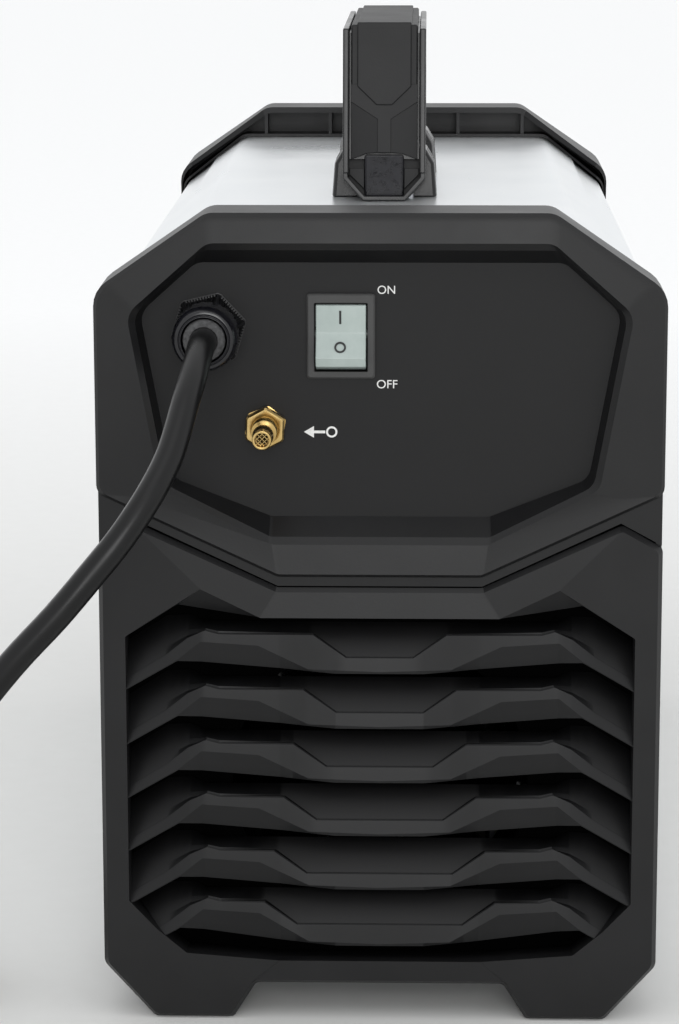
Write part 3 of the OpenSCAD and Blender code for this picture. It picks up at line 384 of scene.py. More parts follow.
partsWith = {
    "powderCoat": "rear_plate", "plateCoat": "front_plate",
    "zincPlate": "base_pan handle_screws end_screws valve_plunger valve_spring", "blackSteel": "side_screws",
    "glandNylon": "gland_locknut", "cordPvc": "cable_tail",
    "turnedBrass": "plug_pins switch_blades valve_body socket_contact",
    "epoxyBlack": "valve_coil transistors control_bases", "hoseGrey": "gas_hose",
    "fanBlack": "air_duct fan_frame fan_rotor", "extrudedAlu": "heat_sinks", "steatite": "sink_feet",
    "solderMask": "power_board control_board", "sleeveBlack": "capacitors", "ferrite": "transformer_core choke_core",
    "yellowTape": "transformer_winding", "copperWire": "choke_winding", "wireBrown": "supply_wires",
}
for name, nodes in partsWith.items():
    for node in nodes.split():
        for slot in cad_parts[node].material_slots:
            slot.material = finishes[name]
print("finishes", len(finishes))


def settle(piece, name, slot, *stands, body="case"):
    # the finished piece gets its surface and rides with its body
    if piece.type == "MESH":
        # flat faces stay flat, so that only the rounded edges catch the light
        modify(piece, "WEIGHTED_NORMAL", keep_sharp=True)
    piece.data.materials.clear()
    piece.data.materials.append(finishes[name])
    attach(piece, body)
    if stands:
        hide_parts(*stands)
    return piece


# ---- camera ----

view = {"place": (0.018, -1.4176, 0.446), "down": 11.91, "yaw": 1.602, "roll": -0.10, "lens": 114.32}

rest()
bpy.ops.object.camera_add()
camera = bpy.context.object
camera.name = "rearView"
camera.matrix_world = (Matrix.Translation(view["place"]) @ Matrix.Rotation(math.radians(view["yaw"]), 4, "Z")
                       @ Matrix.Rotation(math.radians(90 - view["down"]), 4, "X")
                       @ Matrix.Rotation(math.radians(view["roll"]), 4, "Z"))
camera.data.lens = view["lens"]
camera.data.sensor_width = 36
camera.data.clip_start = 0.05
camera.data.clip_end = 60
bpy.context.scene.camera = camera
print("camera")


# ---- mains cord ----

cord = {"radius": 5.0, "length": 1877, "coilMiddle": (-240, -279), "coilRadius": 64.5, "turnStep": 10.6,
        "layerTurns": 2.25, "coilHeight": 6.2}
route = [(-63.4, -259, 264.2), (-63.4, -271, 264.2), (-64, -282, 261), (-65, -293, 256), (-67, -303, 249),
         (-69, -311, 241), (-72, -319, 232), (-78, -328, 221), (-87, -335, 208), (-97, -339, 196),
         (-109, -342, 182), (-124, -344, 166), (-138, -344, 148), (-150, -344, 127), (-161, -344, 104),
         (-171, -344, 80), (-180, -344, 58), (-190, -344, 38), (-202, -344, 22), (-216, -343.5, 11),
         (-222, -343.5, 6.2), (-230, -343.5, 6.2)]


def coilPoints():
    points = []
    turns = cord["layerTurns"]
    for i in range(int(2 * turns * 24) + 1):
        t = i / 24
        r = cord["coilRadius"] - cord["turnStep"] * (turns - abs(t - turns))
        lift = cord["turnStep"] * min(1, max(0, (t - turns + 0.25) / 0.5))
        a = math.radians(-90 - 360 * t)
        points.append((cord["coilMiddle"][0] + r * math.cos(a), cord["coilMiddle"][1] + r * math.sin(a),
                       cord["coilHeight"] + lift))
    return points


def eased(points, pieces=4):
    # more points on a smooth curve through the given ones
    result = []
    for i in range(len(points) - 1):
        p = [Vector(points[min(max(i + k, 0), len(points) - 1)]) for k in (-1, 0, 1, 2)]
        for s in range(pieces):
            t = s / pieces
            result.append(0.5 * (2 * p[1] + (p[2] - p[0]) * t + (2 * p[0] - 5 * p[1] + 4 * p[2] - p[3]) * t * t
                                 + (3 * p[1] - p[0] - 3 * p[2] + p[3]) * t ** 3))
    result.append(Vector(points[-1]))
    return result


plugStart = (-216, -214.5, 18.5)
wound = coilPoints()
cordPath = eased(route, 4) + eased(wound, 2) + eased([wound[-1], (-233, -214.5, 17.6), (-226, -214.5, 18.5),
                                                     plugStart], 3)[1:]
cordCurve = bpy.data.curves.new("mainsCord", "CURVE")
cordCurve.dimensions = "3D"
cordCurve.bevel_depth = cord["radius"] / 1000
cordCurve.bevel_resolution = 5
cordCurve.use_fill_caps = True
line = cordCurve.splines.new("POLY")
line.points.add(len(cordPath) - 1)
for point, p in zip(line.points, cordPath):
    point.co = (p[0] / 1000, p[1] / 1000, p[2] / 1000, 1)
line.use_smooth = True
mainsCord = bpy.data.objects.new("mainsCord", cordCurve)
bpy.context.scene.collection.objects.link(mainsCord)
settle(mainsCord, "cordPvc", "cord_black", "power_cord", "cord_coil")


def makePlug():
    profile = [(0.3, 0), (8, 0), (8.6, 1.5), (8, 3), (9, 4.5), (8.6, 6), (9.4, 7.5), (9.2, 9), (14, 14), (17.4, 18),
               (18.5, 22), (18.5, 38.5), (17.2, 40.5), (17.2, 45.4), (16.6, 46), (4, 46), (0.3, 46)]
    return soften(turnedX("plugBody", *plugStart, profile, 40), 0.5, 2, 30)


plugBody = settle(makePlug(), "glandNylon", "nylon_black", "plug_body")


def makeTie():
    # a hook-and-loop strap round the bundle, on the side away from the case
    cx, cy = cord["coilMiddle"]
    inner = cord["coilRadius"] - cord["turnStep"] * cord["layerTurns"] - 5.8
    outer, top = cord["coilRadius"] + cord["radius"], 22.4

    def section(wall, r, y):
        x0, x1, z0, z1 = cx - outer - wall, cx - inner + wall, 1 - wall, top + wall
        return rounded([(x0, z1), (x1, z1), (x1, z0), (x0, z0)], [r, r, r / 10, r / 10], y, 5)

    rings = [section(1, 4, cy - 6), section(1, 4, cy + 6), section(0, 3, cy + 6), section(0, 3, cy - 6)]
    return soften(skin("cordTie", rings, looped=True), 0.3, 2)


cordTie = settle(makeTie(), "strapFabric", "soft_black", "cord_tie")
print("cord")


# ---- end hoods ----

hood = {"top": 63.5, "wall": 2.8, "sweep": 27, "chamferZ": 280.0, "sideZ": 204.5, "bottomZ": 173.0, "vee": 38.0}


def makeHood(name, sweep):
    # one closed wall: skirt, rim face, recess wall, rail over the cover and the hollow under the skirt
    y0 = unit["rearFace"]
    outer = bothSides([(hood["top"], unit["height"]), (105, hood["chamferZ"]), (105, hood["sideZ"]),
                       (hood["vee"], hood["bottomZ"])])
    band = bothSides([(63.4, 305.2), (101, 278), (92, 204.0), (39.6, 185.2)])
    lip = bothSides([(63.2, 297.7), (92.8, 271.5), (81, 206.5), (40.7, 185.2)])
    step = bothSides([(65.2, 295.0), (90.4, 270.9), (78.9, 207.6), (40.6, 187.9)])
    pit = bothSides([(67.7, 289.3), (88.7, 270.5), (77.4, 208.6), (40.5, 194.1)])
    rail = bothSides([(74.8, 293.7), (103.2, 273.8), (103.2, 205.5), (38.4, 175.6)])
    radii = doubled([9, 11, 5, 5])
    inner = doubled([7, 8, 7, 4])

    def depths(*values):
        return doubled([y0 + v for v in values])

    backY = depths(28, 28 + sweep, 28 + sweep / 2, 28)
    hollow = grow(outer, -hood["wall"])
    hollow = bothSides([hollow[0], (104.2, hollow[1][1]), (104.2, hollow[2][1]), (hollow[3][0], hollow[3][1] + 0.4)])
    railOut = bothSides([(75.3, 295.2), (103.8, 274.4), (103.8, 205.4), (38.3, 175.2)])
    rings = [rounded(*row) for row in (
        (outer, radii, backY), (outer, radii, depths(3.0, 1.6, 1.6, 1.6)),
        (grow(outer, -1.3), radii, depths(1.4, 0, 0, 0)), (band, radii, depths(1.4, 0, 0, 1.7)),
        (lip, inner, depths(0, 0, 0, 1.7)), (step, inner, depths(1.9, 1.9, 1.9, 3.3)), (pit, inner, y0 + 10.9),
        (grow(pit, 1.2), inner, y0 + 10.95), (rail, inner, y0 + 11.2), (rail, inner, backY),
        (railOut, inner, backY), (railOut, inner, y0 + 14), (hollow, radii, y0 + 14), (hollow, radii, backY))]
    shell = soften(skin(name, rings, looped=True), 0.45, 2, 20, 26)
    ribs = []
    for x in (-64, -32, 32, 64):
        ribs.append(slabX(name + "Rib", [(y0 + 14, 294.8), (y0 + 14, 306.2), (y0 + 27.4, 306.2), (y0 + 27.4, 294.8)],
                          x - 0.8, x + 0.8))
    # backing strip that shows as a thin line under the hood and as a cheek at each side
    strips = [[(-36, 179), (36, 179), (38, 169.4), (-38, 169.4)]]
    for s in (-1, 1):
        strips.append([(s * 36, 179), (s * 84, 201), (s * 89.2, 193.6), (s * 38, 169.4)])
        strips.append([(s * 84, 201), (s * 96, 209), (s * 104.4, 209), (s * 104.4, 185.3), (s * 89.2, 193.6)])
    backing = [slabY(name + "Strip", outline, y0 + 2.4, y0 + 10.9) for outline in strips]
    cheeks = [slabX(name + "Cheek", [(y0 + 3, 184), (y0 + 3, 207), (y0 + 27.9, 207), (y0 + 27.9, 184)],
                    *sorted((s * 102.2, s * 104.3))) for s in (-1, 1)]
    return join(name, [shell] + backing + ribs + cheeks)


settle(makeHood("rearHood", 0), "hoodAbs", "shell_black", "rear_bezel")
settle(flipY(makeHood("frontHood", hood["sweep"])), "hoodAbs", "shell_black", "front_bezel")
print("hoods")


# ---- louvred moulding ----

# how far each louvre stands below an even row
grille = {"rows": 6, "top": 150.2, "step": 20.68, "drops": [0.1, 0.7, 1.1, 1.3, 1.8, 1.4]}
lowerOuter = bothSides([(38, 168.8), (89.8, 192.9), (104.8, 184.4), (105, 21.5), (85.7, 0), (55.7, 0), (47, 13.9)])
lowerRadii = doubled([3, 2.5, 3, 5, 3, 2, 3])
lowerBack = doubled([11, 11, 28, 28, 28, 28, 28])


def makeLowerFrame(name, opening, inside, openingRadii):
    # the frame round an opening; inside is the opening's edge further in
    y0 = unit["rearFace"]
    face = doubled([y0 + 1.4] + [y0] * 6)
    rings = [
        rounded(grow(lowerOuter, -0.05), lowerRadii, [y0 + b for b in lowerBack]),
        rounded(lowerOuter, lowerRadii, y0 + 2.6),
        rounded(grow(lowerOuter, -1.7), lowerRadii, face),
        rounded(opening, openingRadii, y0),
        rounded(inside, openingRadii, y0 + 3.5),
        rounded(inside, openingRadii, y0 + 10.7),
        rounded(grow(lowerOuter, -2.4), lowerRadii, y0 + 10.9),
        rounded(grow(lowerOuter, -2.2), lowerRadii, [y0 + b for b in lowerBack]),
    ]
    return soften(skin(name, rings, looped=True), 0.45, 2, 20, 26)


def along(table, x):
    for (x0, v0), (x1, v1) in zip(table, table[1:]):
        if x0 <= x <= x1:
            return v0 + (v1 - v0) * (x - x0) / (x1 - x0)
    return table[-1][1]


def makeBlade(k):
    # one louvre, drawn as profiles from side to side: back edge, slope, groove, lip, crease, chin, underside.
    # towards each side the lip fades into one smooth wing
    y0 = unit["rearFace"]
    z = grille["top"] - k * grille["step"] - grille["drops"][k]
    d = 3.75 * k
    low = -16.1 if k == grille["rows"] - 1 else -14.0
    sink = low + 14
    knots = (0, 12.5 + d, 24.8 + d, 60.3, 65.1, 72, 80, 96)

    def table(*values):
        return list(zip(knots, values))

    lip = table(-7.8, -7.8, 0.9, 1.2, 2.5, -0.9, -7.4, -17.1)
    slope = table(-7.9, -7.9, -0.3, 1.7, 2.6, 1.6, -2.3, -11.2)
    slopeY = table(3.0, 3.0, 8.1, 3.0, 3.6, 5.4, 5.9, 6.5)
    groove = table(-10, -10, -2.6, 0.4, 2.0, -0.3, -4.9, -14.1)
    grooveY = table(3.2, 3.2, 7.9, 2.6, 2.4, 3.8, 4.3, 4.7)
    lipY = [(0, 1.2), (38, 1.2), (50, 0.9), (65.1, 1.0), (72, 1.9), (80, 2.7), (96, 2.8)]
    crease = [(0, low + 0.8), (26.7, -12.3 + sink), (45.4, -3.3), (67, -1.9), (75.7, -8.9), (96, -20.6)]
    creaseY = [(0, 0.4), (96, 0.6)]
    chin = [(0, low), (16.7, low), (37.2, -12.5 + sink), (75.7, -9.4), (96, -21.2)]
    chinY = [(0, 0.6), (20, 0.9), (37, 3.0), (67, 3.0), (75.7, 0.8), (96, 0.8)]
    back = [(0, 3.7), (66, 3.7), (71.5, 6.2), (80, 5.9), (96, -4.4)]
    stations = sorted(set(x for t in (lip, crease, chin, back, lipY) for x, v in t) | {33, 58, 69, 88})
    stations = [-x for x in reversed(stations[1:])] + stations
    rings = []
    for s in stations:
        x = abs(s)
        chord = 0.6 if x < 66 else 0.1
        lift, out = along(lip, x), along(lipY, x)
        rings.append([(s, y0 + y, z + w) for y, w in (
            (10.7, along(back, x)), (along(slopeY, x), along(slope, x)), (along(grooveY, x), along(groove, x)),
            (out + chord, lift + chord * 0.3), (out, lift - chord * 0.5), (along(creaseY, x), along(crease, x)),
            (along(chinY, x), along(chin, x)), (5.0, along(chin, x) + 0.8), (10.7, along(back, x) - 3.0))])
    return soften(skin("louvreBlade", rings), 0.18, 2, 20, 26)


def makeGrille():
    opening = bothSides([(44.5, 157.6), (66.8, 168.5), (95, 150.2), (95, 46.8), (84.5, 35.6), (73.3, 26.2),
                         (38, 23.4)])
    inside = bothSides([(44.5, 156.9), (75.4, 161.9), (94.6, 149.8), (94.6, 46.9), (84.2, 35.8), (73.0, 26.5),
                        (38, 23.8)])
    body = makeLowerFrame("rearGrille", opening, inside, doubled([2, 0.5, 1, 1, 1, 2, 2]))
    return join("rearGrille", [body] + [makeBlade(k) for k in range(grille["rows"])])


settle(makeGrille(), "grilleAbs", "grille_black", "rear_grille")
print("grille")


# ---- sheet cover ----

cover = {"halfLength": 229.5, "thickness": 1.0, "bend": 2.5}


def makeSheet(name, outline):
    # a folded sheet: its section drawn once, run along the case, then given its thickness
    rings = [[(p[0], y, p[1]) for p in outline] for y in (-cover["halfLength"], -80, 80, cover["halfLength"])]
    piece = skin(name, rings, wrapped=False)
    modify(piece, "BEVEL", width=cover["bend"] / 1000, segments=5, limit_method="ANGLE", angle_limit=math.radians(15))
    modify(piece, "SOLIDIFY", thickness=cover["thickness"] / 1000, offset=-1)
    return soften(piece, 0.2, 2, 40, 30)


topOutline = [(-88.4, 284.3), (-74.7, 293.5), (74.7, 293.5), (88.4, 284.3)]
sideOutline = [(77.5, 290.2), (102.0, 273.1), (102.0, 24.4)]
for name, outline, node in (("topCover", topOutline, "top_cover"), ("rightSide", sideOutline, "right_side"),
                            ("leftSide", [(-x, z) for x, z in reversed(sideOutline)], "left_side")):
    settle(makeSheet(name, outline), "silverEnamel", "silver_paint", node)
print("cover")


# ---- handle ----

handle = {"y": 5.0, "length": 151.0, "height": 73.0, "lean": 10.5, "base": 293.5}


def arch(inset, foot=0.0, drop=0.0):
    half, top = handle["length"] / 2, handle["height"] - drop
    lean = handle["lean"] / handle["height"]
    return [(-half + inset + lean * foot, foot), (-half + lean * top + inset, top - inset),
            (half - lean * top - inset, top - inset), (half - inset - lean * foot, foot)]


def archBand(outer, inner, foot=0.0, drop=0.0):
    # the arch between two insets as one closed outline, in Y and Z
    points = arch(outer, foot, drop) + list(reversed(arch(inner, foot, drop if inner < 8 else 0)))
    return [(p[0] + handle["y"], p[1] + handle["base"]) for p in points]


def onPost(x, h, lift, s):
    # a point on a post's outer face: h above the cover, lift proud of the face
    run = -handle["length"] / 2 + handle["lean"] * h / handle["height"]
    return (x, handle["y"] - s * (run - lift), handle["base"] + h + lift * 0.14)


def postPlate(name, outline, low, high, s, *edge):
    # a plate on a post's face; high is one lift or one for each corner, edge how its edges are rounded
    tops = high if isinstance(high, (list, tuple)) else [high] * len(outline)
    plate = skin(name, [[onPost(x, h, low, s) for x, h in outline],
                        [onPost(x, h, lift, s) for (x, h), lift in zip(outline, tops)]])
    return soften(plate, *edge) if edge else plate


def makeHandleFrame():
    pieces = []
    for s in (-1, 1):
        x0, x1 = sorted((s * 14.7, s * 17.2))
        pieces.append(soften(slabX("handleRail", archBand(0, 20.5, 11.5, 2.4), x0, x1), 0.6, 3, 30))
    pieces.append(slabX("handleCore", archBand(4.4, 19.6, 17), -14.5, 14.5))
    for s in (-1, 1):
        # the rail runs round under the post as a thin bright rim; the pocket in it is dark
        rim = [(17.2, 11.8), (17.2, 9.4), (8.8, 0.3), (-8.8, 0.3), (-17.2, 9.4), (-17.2, 11.8),
               (-15.0, 11.8), (-15.0, 10.1), (-8.0, 2.3), (8.0, 2.3), (15.0, 10.1), (15.0, 11.8)]
        pieces.append(postPlate("postRim", rim, -19, 0, s, 0.5, 3, 30))
        # pedestal with shoulders, its outer face leaning like the post
        shoulder = bothSides([(17.4, 20), (21, 14), (22, 0)])
        rings = []
        for t, squeeze in ((59, 1.0), (57.5, 0.0), (37, 0.0), (33, 1.5)):
            rings.append([(x - math.copysign(squeeze, x), handle["y"] + s * (t - z * 0.12), handle["base"] + z)
                          for x, z in shoulder])
        pieces.append(soften(skin("handlePedestal", rings), 1.0, 3, 25))
    return join("handleFrame", pieces)


def makeHandleShell():
    pieces = [soften(slabX("gripShell", archBand(0.9, 4.6, 40), -13.8, 13.8), 0.8, 3, 25),
              soften(slabX("gripPanel", archBand(-0.15, 2.0, 70), -11.2, 11.2), 0.55, 3, 25)]
    for s in (-1, 1):
        pocket = [(14.8, 18), (14.8, 9.8), (8.2, 1.8), (-8.2, 1.8), (-14.8, 9.8), (-14.8, 18)]
        pieces.append(postPlate("pocketBack", pocket, -18.6, -7.5, s))
        for side in (-1, 1):
            web = [(side * 8.3, 13.8), (side * 14.4, 13.8), (side * 14.4, 11.2), (side * 8.3, 5.2)]
            pieces.append(postPlate("pocketWeb", web, -7.5, -4.6, s, 0.3, 2, 30))
        hexPanel = bothSides([(11.2, 71), (11.2, 47), (3.2, 39.4)])
        pieces.append(postPlate("hexPanel", hexPanel, -2.0, 0.15, s, 0.55, 3, 25))
        strap = bothSides([(13.8, 48), (13.8, 40.8), (2.8, 33.7), (2.8, 20.1)])
        pieces.append(postPlate("postStrap", strap, -2.4, -0.55, s, 0.25, 2, 25))
        for side in (-1, 1):
            facet = [(side * x, h) for x, h in ((2.7, 33.9), (13.8, 41.0), (13.8, 17.4), (7.6, 19.7), (2.7, 20.2))]
            pieces.append(postPlate("postFacet", facet, -5.0, [-0.9, -1.2, -3.0, -1.9, -1.0], s, 0.25, 2, 30))
        middle = bothSides([(3.0, 36), (3.0, 20.3)])
        pieces.append(postPlate("postMiddle", middle, -5.0, -1.5, s))
    top = handle["base"] + handle["height"]
    for k in range(9):
        # low ribs under the fingers, across the underside of the grip
        y = handle["y"] - 36 + 9 * k
        rib = slabX("gripRib", [(y, top - 20.3), (y + 1.2, top - 21.3), (y + 2.6, top - 21.3), (y + 3.8, top - 20.3)],
                    -13, 13)
        pieces.append(soften(rib, 0.3, 2, 20))
    y0, y1 = handle["y"] - 45, handle["y"] + 45
    under = slabX("gripUnder", [(y0, top - 20.5), (y1, top - 20.5), (y1, top - 18.5), (y0, top - 18.5)], -13.8, 13.8)
    pieces.append(soften(under, 0.4, 2, 30))
    return join("handleShell", pieces)


def makePocketBlock(s):
    body = [(8.2, 19.4), (8.2, 1.8), (-8.2, 1.8), (-8.2, 19.4)]
    pieces = [postPlate("pocketBlock", body, -7.5, [-2.4, -4.1, -4.1, -2.4], s, 1.0, 2, 25)]
    pad = bothSides([(7.4, 18.6), (7.4, 2.6)])
    pieces.append(postPlate("pocketPad", pad, -5, [-2.2, -3.9, -3.9, -2.2], s, 0.15, 2, 25))
    return pieces


def nudged(piece):
    # the handle stands a millimetre off the middle
    piece.data.transform(shift(-1, 0, 0))
    return piece


settle(nudged(makeHandleFrame()), "railNylon", "soft_black", "handle_frame")
settle(nudged(makeHandleShell()), "gripAbs", "shell_black", "handle_shell")
settle(nudged(join("handleBlocks", makePocketBlock(1) + makePocketBlock(-1))), "glossStyrene", "gloss_black",
       "handle_blocks")
print("handle")


# ---- power switch ----

switch = {"x": -14.5, "z": 262.2, "face": -233.5, "pivot": -227.5}


def makeSwitchHousing():
    # barrel, frame and window, each as half width, reach down and up, depth behind the face, corner radius
    x, z = switch["x"], switch["z"]
    table = [(11.0, 14.0, 14.0, 26, 0.8), (11.0, 14.0, 14.0, 2.0, 0.8), (12.6, 15.8, 15.8, 2.0, 1.2),
             (12.6, 15.8, 15.8, 0.5, 1.2), (12.0, 15.2, 15.2, 0, 1.0), (10.0, 13.25, 12.5, 0, 0.6),
             (9.75, 13.4, 12.2, 0.35, 0.3), (9.75, 14.6, 14.6, 0.45, 0.3), (9.75, 14.6, 14.6, 1.8, 0.3),
             (9.75, 13.5, 13.5, 2.1, 0.3), (9.75, 13.5, 13.5, 15, 0.3)]
    rings = [rectangle(x - w, x + w, z - low, z + high, switch["face"] + y, r) for w, low, high, y, r in table]
    return soften(skin("switchHousing", rings), 0.15, 2, 30)


def makeRocker():
    # upper half flush, lower half standing out over a lip, the face slightly hollow
    a = math.radians(24)
    half = [(-2, 13.1), (3.8, 13.1), (4.4, 13.8), (6.77, 11.22), (6.5, 8.0), (6.2, 4.5),
            (6.3, 6.3 * math.tan(a / 2))]
    upper = [(-2, 11.3), (5.8, 11.75), (6.55, 11.4)] + half[4:]

    def over(p):
        return (p[0] * math.cos(a) + p[1] * math.sin(a), p[0] * math.sin(a) - p[1] * math.cos(a))

    profile = upper + [over(p) for p in reversed(half[:-1])] + [(-3, -3), (-3.6, 2)]
    rings = []
    for x, trim in ((-9.25, 0.4), (-8.9, 0.0), (8.9, 0.0), (9.25, 0.4)):
        rings.append([(switch["x"] + x, switch["pivot"] - (u - trim if u > 0 else u),
                       switch["z"] + w * (1 - trim * 0.01)) for u, w in profile])
    body = soften(skin("powerRocker", rings), 0.25, 3, 20, 14)
    stubs = [turnedX("rockerStub", switch["x"], switch["pivot"], switch["z"],
                     [(1.5, s * x) for x in (8.6, 10.4, 10.6)], 20) for s in (-1, 1)]
    return join("powerRocker", [body] + stubs)


settle(makeSwitchHousing(), "switchBlack", "nylon_black", "switch_housing")
settle(makeRocker(), "rockerGrey", "switch_grey", "switch_rocker", body="power_rocker")
onMark = skin("rockerOnMark", [[(x, switch["pivot"] - u - lift, switch["z"] + w) for x, u, w in
                                ((-15.1, 6.64, 9.6), (-14.3, 6.64, 9.6), (-14.3, 6.2, 4.6), (-15.1, 6.2, 4.6))]
                               for lift in (-0.3, 0.06)])
settle(onMark, "blackInk", "device_black", body="power_rocker")
offMark = turned("rockerOffMark", 0, 0, [(1.45, -0.16), (2.15, -0.16), (2.15, 0.5), (1.45, 0.5)], 40, looped=True)
offMark.data.transform(shift(-14.7, -236.35, 258.55)
                       @ Matrix.Rotation(math.radians(-26), 4, "X"))
settle(offMark, "blackInk", "device_black", body="power_rocker")
print("switch")


# ---- cable gland and gas fitting ----

gland = {"x": -63.4, "z": 264.2}
gas = {"x": -42.6, "z": 228.0, "flats": 14.2}


def hexReach(flats, turn, ribs=0, deep=0.0, corner=0.97):
    # how far a nut's side reaches at each angle, with fine ribs along the flats if it has any
    def reach(a):
        b = (a - turn) % (math.pi / 3) - math.pi / 6
        across = math.tan(b) / math.tan(math.pi / 6)
        r = min(flats / 2 / math.cos(b), flats / math.sqrt(3) * corner)
        if ribs and abs(across) < 0.9:
            r -= deep * (0.5 + 0.5 * math.cos(math.pi * ribs * across))
        return r
    return reach


def makeGlandHex():
    # the body's hexagon with moulded ribs, on a thin seal, and its barrel through the plate
    y, turn = -plateY, math.radians(17)
    wide, plain, small = hexReach(25.4, turn), hexReach(25.0, turn), hexReach(20.8, turn)
    profile = [(wide, y - 0.02), (wide, y - 0.9), (plain, y - 0.95), (plain, y - 1.9),
               (hexReach(24.9, turn, 13, 0.8), y - 2.1), (hexReach(21.6, turn, 13, 0.8), y - 8.2),
               (hexReach(21.3, turn), y - 8.6), (small, y - 9.5), (9.9, y - 9.5), (9.9, y - 18), (9.1, y - 18),
               (9.1, y + 17), (9.9, y + 17), (9.9, y - 0.02)]
    return smoothed(turned("glandHex", gland["x"], gland["z"], profile, 360, looped=True), 28)


def makeDomeNut():
    # dome nut with shallow grip flutes on its skirt and a rolled bright edge round the seal
    skirt = fluted(12.0, 0.3, 24)
    profile = [(11.5, -241.1), (skirt, -241.7), (skirt, -252.4), (11.9, -253.2), (11.3, -255.4), (10.6, -256.7),
               (9.6, -257.0), (9.0, -256.8), (8.75, -257.4), (8.5, -257.5), (8.3, -257.2), (8.2, -255.8),
               (8.1, -250), (10.05, -247.5), (10.05, -241.1)]
    return soften(turned("glandDomeNut", gland["x"], gland["z"], profile, 144, looped=True), 0.1, 2, 30, 50)


def makeSealNose():
    # rubber seal squeezed out round the cord, its rim scalloped by the fingers behind it
    profile = [(5.06, -259.0), (5.5, -259.0), (6.2, -258.6), (7.1, -257.9), (7.7, -257.0),
               (fluted(7.85, 0.3, 22), -256.2), (7.6, -251.0), (8.9, -248.0), (8.9, -243.6), (5.06, -243.6)]
    return soften(turned("glandSeal", gland["x"], gland["z"], profile, 132, looped=True), 0.15, 2, 30, 50)


settle(makeGlandHex(), "glandNylon", "nylon_black", "gland_body")
settle(makeDomeNut(), "glandGloss", "nylon_black", "gland_dome_nut")
settle(makeSealNose(), "sealRubber", "soft_black", "gland_seal")


def makeGasNut():
    # a washer with six sides under the nut, turned a little against it
    y, flats = -plateY, gas["flats"]
    washer, nut, top = (hexReach(f, math.radians(turn)) for f, turn in ((flats, 9), (flats, 2), (flats - 1.2, 2)))
    profile = [(washer, y - 0.02), (washer, y - 1.3), (6.5, y - 1.5), (6.5, y - 1.6), (nut, y - 1.8), (nut, y - 5.2),
               (top, y - 5.9), (5.7, y - 6.0), (4.95, y - 5.8), (4.95, y - 0.02)]
    return smoothed(turned("gasNut", gas["x"], gas["z"], profile, 180, looped=True), 26)


def makeGasTube():
    # push-on end with its bead, a run of thread in front of the nut, the bore and its wire screen
    x, z = gas["x"], gas["z"]
    profile = [(2.65, -259.5), (3.35, -259.5), (3.6, -259.1), (3.6, -257.6), (3.3, -257.1), (3.25, -251.8),
               (3.9, -250.6), (3.9, -249.8), (3.25, -247.8), (3.25, -245.4), (4.4, -245.0)]
    y = -244.8
    while y < -238:
        profile += [(4.75, y), (4.3, y + 0.5)]
        y += 1.0
    profile += [(4.9, -237.4), (4.9, -210.2), (2.1, -210.2), (2.1, -256), (2.65, -256.2)]
    tube = soften(turned("gasTube", x, z, profile, 48, looped=True), 0.08, 2, 30, 50)
    wires = []
    for k in (-1, 0, 1):
        h = 1.3 * k
        reach = math.sqrt(2.6 ** 2 - h ** 2)
        for turn in (45, -45):
            wire = slabX("gasScreen", [(-256.8, h - 0.1), (-256.8, h + 0.1), (-256.5, h + 0.1), (-256.5, h - 0.1)],
                         -reach, reach)
            wire.data.transform(shift(x, 0, z)
                                @ Matrix.Rotation(math.radians(turn), 4, "Y"))
            wires.append(wire)
    return join("gasTube", [tube] + wires)


settle(makeGasNut(), "turnedBrass", "brass", "gas_nut")
settle(makeGasTube(), "turnedBrass", "brass", "gas_inlet")
print("fittings")


# ---- marks on the plates ----

def makeText(name, words, height, x, y, z, facing=1):
    # pad print, a hair proud of the plate
    rest()
    bpy.ops.object.text_add()
    text = bpy.context.object
    text.data.body = words
    text.data.align_x = "CENTER"
    text.data.size = height / 0.69 / 1000
    text.data.extrude = 0.00005
    bpy.ops.object.convert(target="MESH")
    text = bpy.context.object
    text.data.transform(shift(x, y, z)
                        @ Matrix.Rotation(0 if facing > 0 else math.pi, 4, "Z")
                        @ Matrix.Rotation(math.pi / 2, 4, "X"))
    text.name = text.data.name = name
    return text


print0, print1 = -plateY - 0.12, -plateY + 0.02
inletArrow = slabY("markInlet", [(-28.3, 226.1), (-24.6, 228.3), (-24.6, 226.6), (-20.4, 226.6), (-20.4, 225.6),
                                 (-24.6, 225.6), (-24.6, 223.9)], print0, print1)
inletRing = turned("markRing", -18.0, 226.1, [(1.4, print0), (2.1, print0), (2.1, print1), (1.4, print1)], 32,
                   looped=True)
for mark in (makeText("markOn", "ON", 3.0, 2.25, print0, 277.8), makeText("markOff", "OFF", 3.1, 2.5, print0, 242.6),
             inletArrow, inletRing):
    settle(mark, "whiteInk", "key_grey")
print("marks")


# ---- control end ----

controls = {"knobZ": 227.5, "windowZ": 259.5, "keyX": 44.0, "socketX": 44.0, "socketZ": 82.0, "torchX": -45.0}


def makeSurround():
    opening = bothSides([(44.5, 149), (60, 149), (91, 131), (91, 44), (84, 36), (73, 27), (38, 27)])
    inside = bothSides([(43, 143), (58, 143), (86, 128), (86, 47), (80, 40), (71, 33), (38, 33)])
    return flipY(makeLowerFrame("frontSurround", opening, inside, doubled([2, 2, 3, 3, 2, 3, 2])))


settle(makeSurround(), "grilleAbs", "grille_black", "front_surround")


